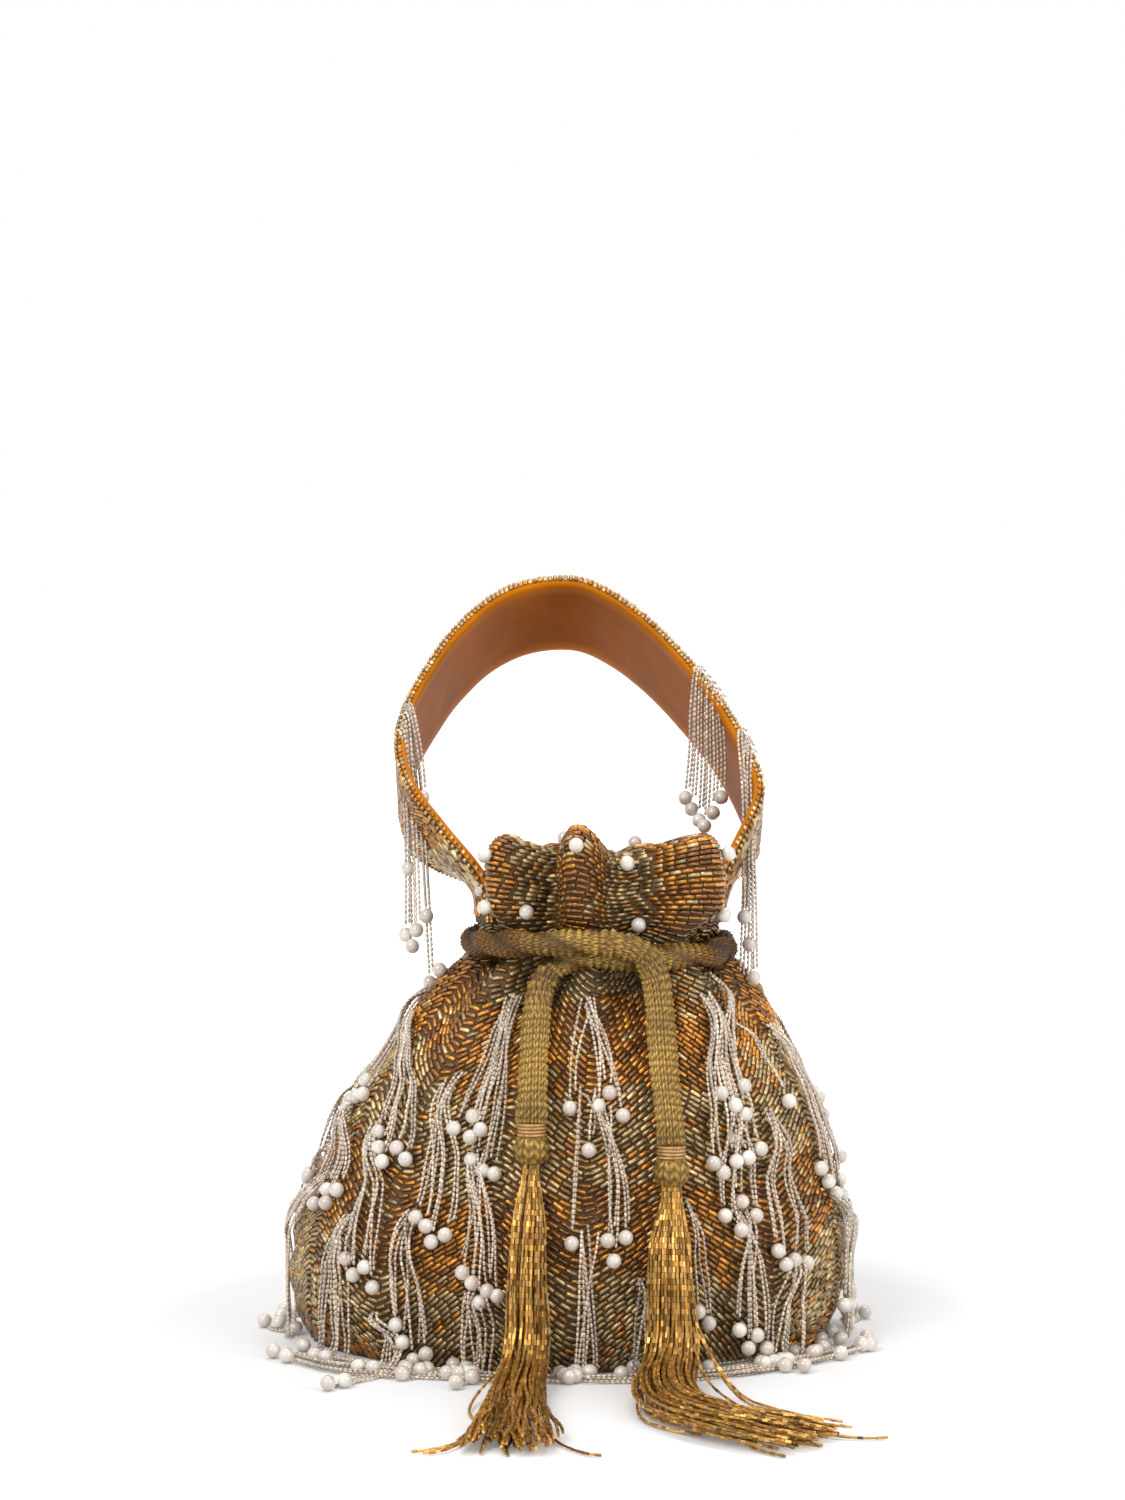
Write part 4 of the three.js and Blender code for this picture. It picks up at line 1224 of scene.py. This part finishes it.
class POTLI_OT_drawstring(bpy.types.Operator):
    """Knits the gold band that gathers the neck and hangs down in two ends"""

    bl_idname = "potli.drawstring"
    bl_label = "Knitted drawstring"

    def execute(self, context):
        sizes, colours = context.scene.potli_sizes, context.scene.potli_colours
        route = Route([Vector(p) / MM for p in CORD_ROUTE], steps=10)
        half_width = sizes.band_width / MM / 2
        bright, dark = Vector(colours.knit_bright), Vector(colours.knit_dark)

        def relief(around, lengthwise):
            """Stitches, and where the band is twisted round the neck a groove between its rolled edges."""
            neck = window(lengthwise, ON_NECK)
            twist = neck * lengthwise * route.length / TWIST_LENGTH
            groove = abs(math.cos(TURN * (around + 0.7 * twist))) ** 0.6
            stitches = stitch_relief(lengthwise * route.length, around * 12 + twist * 3)
            return stitches * mix(1, 0.15 + 0.95 * groove, neck)

        def place(around, lengthwise):
            spot, heading = route.at(lengthwise), route.heading(lengthwise)
            radial = Vector((spot.x - middle_x(spot.z), spot.y * 1.2, 0)).normalized()
            side = heading.cross(radial).normalized()
            face = side.cross(heading).normalized()
            neck = window(lengthwise, ON_NECK)
            stands = mix(1.3, 1.9, neck) * (relief(around, lengthwise) - 0.7)
            wide = half_width * mix(1, 0.89, neck) * (1 + 0.14 * noise.noise(spot * 0.08)) + stands
            thick = mix(2.6, 3.9, neck) + stands
            turn = TURN * around
            return spot + side * wide * math.cos(turn) + face * thick * math.sin(turn)

        def tone_at(around, lengthwise, spot):
            """Painted shade on the gilt: darker and browner towards the sides and the back of the neck, with painted
            shade in the gaps between stitches and painted highlights on their tops.
            """
            front = mix(0.6, 1, smoothstep(-spot.y, 12, 36))
            left = mix(0.62, 1, smoothstep(spot.x, -24, 2))
            right = mix(1, 0.6, smoothstep(spot.x, 38, 50))
            lit = mix(1, front * left * right, window(lengthwise, ON_NECK))
            cloud = 1 + 0.45 * noise.noise(spot * 0.07) + 0.5 * noise.noise(spot * 0.9)
            # painted shade in the gaps between stitches and painted highlight on their tops, from the relief, times
            # the painted shade of the neck's sides and back; the cloud is tone that varies at random
            tone = dark.lerp(bright * 1.2, relief(around, lengthwise) ** 2) * lit * cloud
            # in the painted shade the gilt turns browner as well as darker
            return tone.x * mix(1.1, 1, lit), tone.y * mix(0.56, 1, lit), tone.z * mix(0.1, 1, lit)

        bm = surface(72, 400, place, closed=True, tone_at=tone_at)
        close_ends(bm)
        finish_piece("drawstring_band", bm, material("knit", zari_knit), "zari_knit", ["drawstring"])
        return {"FINISHED"}


class POTLI_OT_knots(bpy.types.Operator):
    """Makes the whipped collar and the knot at each end of the drawstring"""

    bl_idname = "potli.knots"
    bl_label = "Knots"

    def execute(self, context):
        colours = context.scene.potli_colours
        bright, dark = Vector(colours.knit_bright), Vector(colours.knit_dark)
        whipping = Vector(linear("C79A5E"))
        for name in ("knot_left", "knot_right"):
            low, high = (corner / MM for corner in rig.box(name))
            centre = (low + high) / 2
            height, radius = high.z - low.z, (high.x - low.x) / 2

            def wrapped(around, up):
                if up > COLLAR:
                    turns = (up - COLLAR) * 4 * math.pi / (1 - COLLAR)
                    return abs(math.sin(turns + 0.3 * math.sin(TURN * around)))
                return stitch_relief(up * height + 5 * around, around * 9)

            def place(around, up):
                angle = TURN * around
                z = mix(low.z - 1.2, high.z + 1.8, up)
                if up > COLLAR:
                    swell = 0.82 + 0.1 * wrapped(around, up)
                else:
                    belly = math.sin((0.08 + 0.84 * up / COLLAR) * math.pi) ** 0.6
                    swell = 0.5 + 0.54 * belly + 0.12 * wrapped(around, up)
                across, deep = radius * swell * math.cos(angle), 0.86 * radius * swell * math.sin(angle)
                return Vector((centre.x + across, centre.y + deep, z))

            def tone_at(around, up, spot):
                # painted shade in the grooves between the collar's wraps and between the stitches below, and painted
                # highlight on their crests; the noise is tone that varies at random
                base = whipping if up > COLLAR else bright
                return dark.lerp(base, wrapped(around, up) ** 1.3) * (1 + 0.5 * noise.noise(spot * 1.3))

            bm = surface(48, 44, place, closed=True, tone_at=tone_at)
            close_ends(bm)
            finish_piece(f"{name}_wrap", bm, material("knit", zari_knit), "zari_knit", [name])
        return {"FINISHED"}


class POTLI_OT_tassels(bpy.types.Operator):
    bl_idname = "potli.tassels"
    bl_label = "Tassels"

    def execute(self, context):
        sizes, colours = context.scene.potli_sizes, context.scene.potli_colours
        width = sizes.strand_width / MM
        length = width * STRAND_STRETCH
        pieces = []
        for number, (name, shape) in enumerate(TASSELS.items()):
            draw = random.Random(40 + number)
            lines = [tassel_strand(shape, draw, sizes) for _ in range(STRANDS)]
            places = []
            for points in lines + shape["stray"]:
                tone = varied(tuple(colours.tassel), draw, 0.3)
                for spot, heading in string_of_beads(points, width * STRAND_PITCH):
                    spot.z = on_floor(spot, heading, length, width)
                    matrix = bead_matrix(spot, heading, BEAD_SIDE, draw.random() * TURN)
                    places.append((matrix, varied(tone, draw, 0.3)))
            pieces.append(strew(f"{name}_strands", strand_bead(length, width), places,
                                material("strand", gilt_strand), "tassel_thread", [name], sharp=40))
        band = bpy.data.objects["drawstring_band"]
        knots = [bpy.data.objects["knot_left_wrap"], bpy.data.objects["knot_right_wrap"]]
        route = Route(CORD_ROUTE)
        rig.cord(band, exit=CORD_ROUTE[0], length=route.length, diameter=sizes.band_width, far_end="knot",
                stiffness="limp", lay="hanging", path=route.spots, with_pieces=[*knots, *pieces])
        return {"FINISHED"}


def tassel_strand(shape, draw, sizes):
    """One strand's points: it keeps its place across the tassel while that narrows, bends and fans out."""
    route = Route(shape["route"])
    radius, turn = math.sqrt(draw.random()), draw.random() * TURN
    across, depth = radius * math.cos(turn), radius * math.sin(turn)
    reach = draw.uniform(0.88, 1.0)
    points = []
    steps = 22
    wander = [draw.uniform(-1, 1) for _ in range(4)]
    for i in range(steps + 1):
        share = i / steps * reach
        spot, heading = route.at(share), route.heading(share)
        side = Vector((-heading.y, heading.x, 0))
        if side.length < 0.3:
            side = Vector((0.3, 0, 0))
        side = side.lerp(Vector((1, 0, 0)), min(max(1 - 1.6 * share, 0), 1)).normalized()
        side = (side - heading * side.dot(heading)).normalized()
        upward = heading.cross(side)
        lying = smoothstep(share, 0.6, 0.85)
        sway = math.sin(share * 9 + wander[0] * 3) * wander[1] * (0.9 + 2.2 * lying) + wander[2] * share
        sway += math.sin(share * 26 + wander[3] * 3) * wander[0] * (0.2 + 1.2 * lying)
        gathered = mix(0.5, 1, smoothstep(share, 0, 0.13))
        sideways = across * along(shape["half_width"], share) * gathered + sway * gathered
        rise = depth * along(shape["half_depth"], share) * gathered + wander[3] * 1.4 * lying
        spot = spot + side * sideways + upward * rise
        spot.z = max(spot.z, sizes.strand_width / MM / 2)
        points.append(spot)
    return points


class POTLI_OT_pouch_cloth(bpy.types.Operator):
    """Makes the pouch's ground cloth, gathered at the neck and frilled above it"""

    bl_idname = "potli.pouch_cloth"
    bl_label = "Pouch cloth"

    def execute(self, context):
        colours = context.scene.potli_colours
        under_beads = 1.0

        def place(around, up):
            angle = TURN * around
            return pouch_point(angle, mix(0.3, rim_end(angle), up), -under_beads)

        bm = surface(180, 60, place, closed=True)
        point_out(bm)
        finish = material("cloth", lambda: ground_cloth(colours))
        give_wall(finish_piece("pouch_cloth", bm, finish, "beaded_cloth", ["bag_body"]), 0.8, -1)
        return {"FINISHED"}


class POTLI_OT_pouch_beads(bpy.types.Operator):
    """Sews the rows of bugle beads to the pouch, in gold and silver bands"""

    bl_idname = "potli.pouch_beads"
    bl_label = "Pouch beads"

    def execute(self, context):
        sizes, colours = context.scene.potli_sizes, context.scene.potli_colours
        beads = pouch_rows(sizes, colours, random.Random(7))
        if not beads:
            raise RuntimeError("no bead found a place on the pouch")
        for name, front in (("pouch_beads_front", True), ("pouch_beads_back", False)):
            places = [(matrix, tone) for matrix, tone, angle in beads if (abs(angle) < FRONT_KEEP) == front]
            bead = bugle(sizes.bugle_length / MM, sizes.bugle_width / MM, softened=front)
            strew(name, bead, places, material("glass", lined_glass), "beaded_cloth", sharp=50)
        return {"FINISHED"}


class POTLI_OT_pouch_lining(bpy.types.Operator):
    """Lines the pouch with satin and dresses the hidden boards"""

    bl_idname = "potli.pouch_lining"
    bl_label = "Pouch lining and boards"

    def execute(self, context):
        colours = context.scene.potli_colours
        floor_share = 0.2  # share of the lining's length that lies on the pouch's floor

        def place(around, up):
            angle = TURN * around
            if up < floor_share:
                outwards = up / floor_share
                edge = pouch_point(angle, 8, -6)
                return Vector((edge.x * outwards, edge.y * outwards, 5.2 + 0.4 * outwards**4))
            z = mix(5.6, rim_start(angle) - 6, (up - floor_share) / (1 - floor_share))
            crease = 0.5 * math.sin(27 * angle + 3 * math.sin(z * 0.05)) * smoothstep(z, 40, 120)
            return pouch_point(angle, z, -5.1 + crease)

        bm = surface(150, 50, place, closed=True)
        point_out(bm)
        bmesh.ops.reverse_faces(bm, faces=bm.faces)
        finish = material("lining", lambda: satin(colours, "lining_satin"))
        give_wall(finish_piece("pouch_lining", bm, finish, "satin", ["bag_lining"]), 0.5, -1)
        board = material("board", lambda: ground_cloth(colours, "cloth_covered_board"))
        for name in ("base_panel", "handle_stiffener"):
            node = frame["nodes"][name]
            node.data.materials.clear()
            node.data.materials.append(board)
        return {"FINISHED"}


class POTLI_OT_strap(bpy.types.Operator):
    """Makes the strap's outer cloth and its satin lining, turned over the edges"""

    bl_idname = "potli.strap"
    bl_label = "Strap"

    def execute(self, context):
        colours = context.scene.potli_colours
        half = STRAP_WIDTH / 2
        wrap = 0.07  # share of the lining's width that turns over each edge
        face, back, under_beads = 0.95, -1.75, 0.9

        def outer_point(across, lengthwise):
            return strap_point(lengthwise, mix(-half, half, across), face)

        def lining_point(across, lengthwise):
            sideways = mix(-half, half, min(max((across - wrap) / (1 - 2 * wrap), 0), 1))
            over = max(wrap - across, across - (1 - wrap), 0) / wrap
            crease = 0.18 * noise.noise(Vector((sideways * 0.09, lengthwise * 26, 3)))
            past_edge = math.copysign(0.5 * min(over * 3, 1), sideways)
            return strap_point(lengthwise, sideways + past_edge, mix(back + crease, under_beads, over))

        bm = surface(16, 170, outer_point)
        point_out(bm)
        finish = material("cloth", lambda: ground_cloth(colours))
        give_wall(finish_piece("strap_cloth", bm, finish, "beaded_cloth", ["handle_outer"]), 0.5, 0)
        bm = surface(30, 170, lining_point)
        point_out(bm)
        finish = material("satin", lambda: satin(colours, "strap_satin", turned_edges=True))
        give_wall(finish_piece("strap_lining", bm, finish, "satin", ["handle_lining"]), 0.4, 0)
        return {"FINISHED"}


def strap_row_point(row, distance, lift):
    """How far sideways a waving row of beads is at a distance along the strap, and the point there."""
    sideways = row + STRAP_WAVE * math.cos(TURN * distance / STRAP_WAVE_LENGTH)
    return sideways, strap_point(distance / STRAP_ROUTE.length, sideways, lift)


def strap_rows(sizes, colours, draw):
    """Every bugle bead on the strap's outer face: its matrix and tone."""
    length, width = sizes.bugle_length / MM, sizes.bugle_width / MM
    lift = STRAP_WALL / 2 - width / 2 + 0.1
    reach = STRAP_ROUTE.length
    placed = []
    row = -STRAP_WIDTH / 2 - 10
    while row < STRAP_WIDTH / 2 + 10:
        here = 4 + draw.random() * 3
        while here < reach - 6:
            sideways, centre = strap_row_point(row, here, lift)
            _, ahead = strap_row_point(row, here + 1, lift)
            _, behind = strap_row_point(row, here - 1, lift)
            here += (length + BEAD_GAP) * 2 / max((ahead - behind).length, 1)
            if abs(sideways) > STRAP_WIDTH / 2 - 1.6:
                continue
            out = strap_point(here / reach, sideways, 3) - strap_point(here / reach, sideways, 0)
            gold = math.cos(TURN * here / STRAP_GOLD_SPACING + 0.05 * sideways) > -0.6
            tone = picked_tone("strap gold" if gold else "strap silver", colours, draw)
            matrix = bead_matrix(centre, ahead - behind, out, draw.random())
            placed.append((matrix, varied(tone, draw)))
        row += sizes.row_spacing / MM
    return placed


def strap_edge_rows(width, colours, draw):
    """Two rows of seed beads along each edge of the strap."""
    placed = []
    count = int(STRAP_ROUTE.length / (width * 1.05))
    for side in (-1, 1):
        for off, lift in ((0.4, 1.6), (1.0, 0.2)):
            for i in range(count):
                share = (i + 0.5) / count
                spot = strap_point(share, side * (STRAP_WIDTH / 2 + off + draw.uniform(-0.3, 0.3)), lift)
                tone = picked_tone("strap edge", colours, draw)
                matrix = bead_matrix(spot, STRAP_ROUTE.heading(share), Vector((0, -1, 0.3)))
                placed.append((matrix, varied(tone, draw)))
    return placed


class POTLI_OT_strap_beads(bpy.types.Operator):
    """Sews bugle beads to the strap's outer face and rows of seed beads to each edge"""

    bl_idname = "potli.strap_beads"
    bl_label = "Strap beads"

    def execute(self, context):
        sizes, colours = context.scene.potli_sizes, context.scene.potli_colours
        draw = random.Random(11)
        length, width = sizes.bugle_length / MM, sizes.bugle_width / MM
        glass = material("glass", lined_glass)
        places = strap_rows(sizes, colours, draw)
        strew("strap_beads", bugle(length, width), places, glass, "beaded_cloth", sharp=50)
        seed = width * 1.1
        places = strap_edge_rows(seed, colours, draw)
        strew("strap_edge_beads", ball(seed, 5, 4), places, glass, "beaded_cloth")
        return {"FINISHED"}


class POTLI_OT_pouch_fringe(bpy.types.Operator):
    """Hangs the bead strings and their pearls on the pouch"""

    bl_idname = "potli.pouch_fringe"
    bl_label = "Pouch fringe"

    def execute(self, context):
        thickness = context.scene.potli_sizes.seed_width / MM / 2
        draw = random.Random(21)
        left, right, back = ([], []), ([], []), ([], [])

        def near(top):
            return top[0] + draw.uniform(-2.6, 2.6), top[1] + draw.uniform(-2.5, 2.5)

        def gathered(ends):
            """The ends drawn together, as the pearls of a cluster hang."""
            middle = [sum(end[i] for end in ends) / len(ends) for i in (0, 1)]
            return [(mix(end[0], middle[0], 0.3), mix(end[1], middle[1], 0.15)) for end in ends]

        for shape, clusters in ((wall_string, FRONT_CLUSTERS), (floor_string, FLOOR_CLUSTERS)):
            for top, ends in clusters:
                lines, bare_lines = left if top[0] < 0 else right
                for end in gathered(ends):
                    lines.append(shape(near(top), end, draw, thickness))
                    beside = (end[0] + draw.uniform(-1.5, 1.5), end[1] + draw.uniform(0, 3))
                    bare_lines.append(shape(near(top), beside, draw, thickness))
        for spots in BASE_STRINGS:
            side = left if spots[0][0] < 0 else right
            for layer in range(BASE_LAYERS):
                aside = Vector((draw.uniform(-6, 6), draw.uniform(-9, 1), thickness + LAYER_LIFT * layer))
                line = [Vector((x + draw.uniform(-2, 2), y + draw.uniform(-2.5, 2.5), 0)) for x, y in spots]
                side[layer % 2].append([spot + aside for spot in line])
        for top, low in BACK_CLUSTERS:
            for i in range(5):
                end = (top[0] + (i - 2) * 4.2 + draw.uniform(-1.5, 1.5), low + draw.uniform(-5, 9))
                back[0].append(wall_string(near(top), end, draw, thickness))
        for top, ends in BACK_FLOOR_CLUSTERS:
            for end in ends:
                back[0].append(floor_string(top, end, draw, thickness))
        make_fringe("fringe_front_left", *left, fringe_nodes([*range(1, 11), 12, 23, 24]), context, 31)
        make_fringe("fringe_front_right", *right, fringe_nodes([11, *range(13, 23)]), context, 32)
        make_fringe("fringe_back", *back, fringe_nodes(range(25, 39)), context, 33)
        return {"FINISHED"}


class POTLI_OT_strap_fringe(bpy.types.Operator):
    """Hangs the bead strings and their pearls on the strap's front edge"""

    bl_idname = "potli.strap_fringe"
    bl_label = "Strap fringe"

    def execute(self, context):
        thickness = context.scene.potli_sizes.seed_width / MM / 2
        lines = [strap_string(share, end, thickness) for share, end in STRAP_STRINGS]
        nodes = ["strap_fringe_left", *[f"strap_fringe_right_{n}" for n in ("inner", "middle", "outer")]]
        twins = [[spot + Vector((1.3, 0, 0.6)) for spot in points] for points in lines]
        make_fringe("fringe_strap", lines, twins, nodes, context, 34)
        return {"FINISHED"}


class POTLI_OT_neck_pearls(bpy.types.Operator):
    """Sews single pearls to the ruffle and the neck"""

    bl_idname = "potli.neck_pearls"
    bl_label = "Neck pearls"

    def execute(self, context):
        sizes, colours = context.scene.potli_sizes, context.scene.potli_colours
        width = sizes.pearl_width / MM
        places = []
        for degrees, z in NECK_PEARLS:
            angle = math.radians(degrees)
            out = pouch_normal(angle, z)
            spot = pouch_point(angle, z) + out * width * 0.38
            places.append((bead_matrix(spot, Vector((0, 0, 1)), out), (1, 1, 1)))
        finish = material("pearl", lambda: pearl_lacquer(colours))
        strew("neck_pearls", ball(width), places, finish, "bead_string")
        return {"FINISHED"}


STEPS = [
    POTLI_OT_stage, POTLI_OT_drawstring, POTLI_OT_knots, POTLI_OT_tassels, POTLI_OT_pouch_cloth,
    POTLI_OT_pouch_beads, POTLI_OT_pouch_lining, POTLI_OT_strap, POTLI_OT_strap_beads,
    POTLI_OT_pouch_fringe, POTLI_OT_strap_fringe, POTLI_OT_neck_pearls,
]


class POTLI_PT_panel(bpy.types.Panel):
    """Lists the steps that make the bag"""

    bl_idname = "POTLI_PT_panel"
    bl_label = "Potli bag"
    bl_space_type = "VIEW_3D"
    bl_region_type = "UI"
    bl_category = "Potli bag"

    def draw(self, context):
        for group in (context.scene.potli_sizes, context.scene.potli_colours):
            for name in group.__annotations__:
                self.layout.prop(group, name)
        for step in STEPS:
            self.layout.operator(step.bl_idname)


def register():
    for kind in (PotliSizes, PotliColours, *STEPS, POTLI_PT_panel):
        bpy.utils.register_class(kind)
    bpy.types.Scene.potli_sizes = PointerProperty(type=PotliSizes)
    bpy.types.Scene.potli_colours = PointerProperty(type=PotliColours)


def unregister():
    del bpy.types.Scene.potli_colours
    del bpy.types.Scene.potli_sizes
    for kind in (POTLI_PT_panel, *reversed(STEPS), PotliColours, PotliSizes):
        bpy.utils.unregister_class(kind)


def main():
    register()
    for step in STEPS:
        group, name = step.bl_idname.split(".")
        getattr(getattr(bpy.ops, group), name)()
    boxes = {"cad": [list(corner) for corner in CAD_BOX], "visual": [list(corner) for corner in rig.bounds()]}
    with open("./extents.json", "w") as file:
        json.dump(boxes, file)


if __name__ == "__main__":
    main()
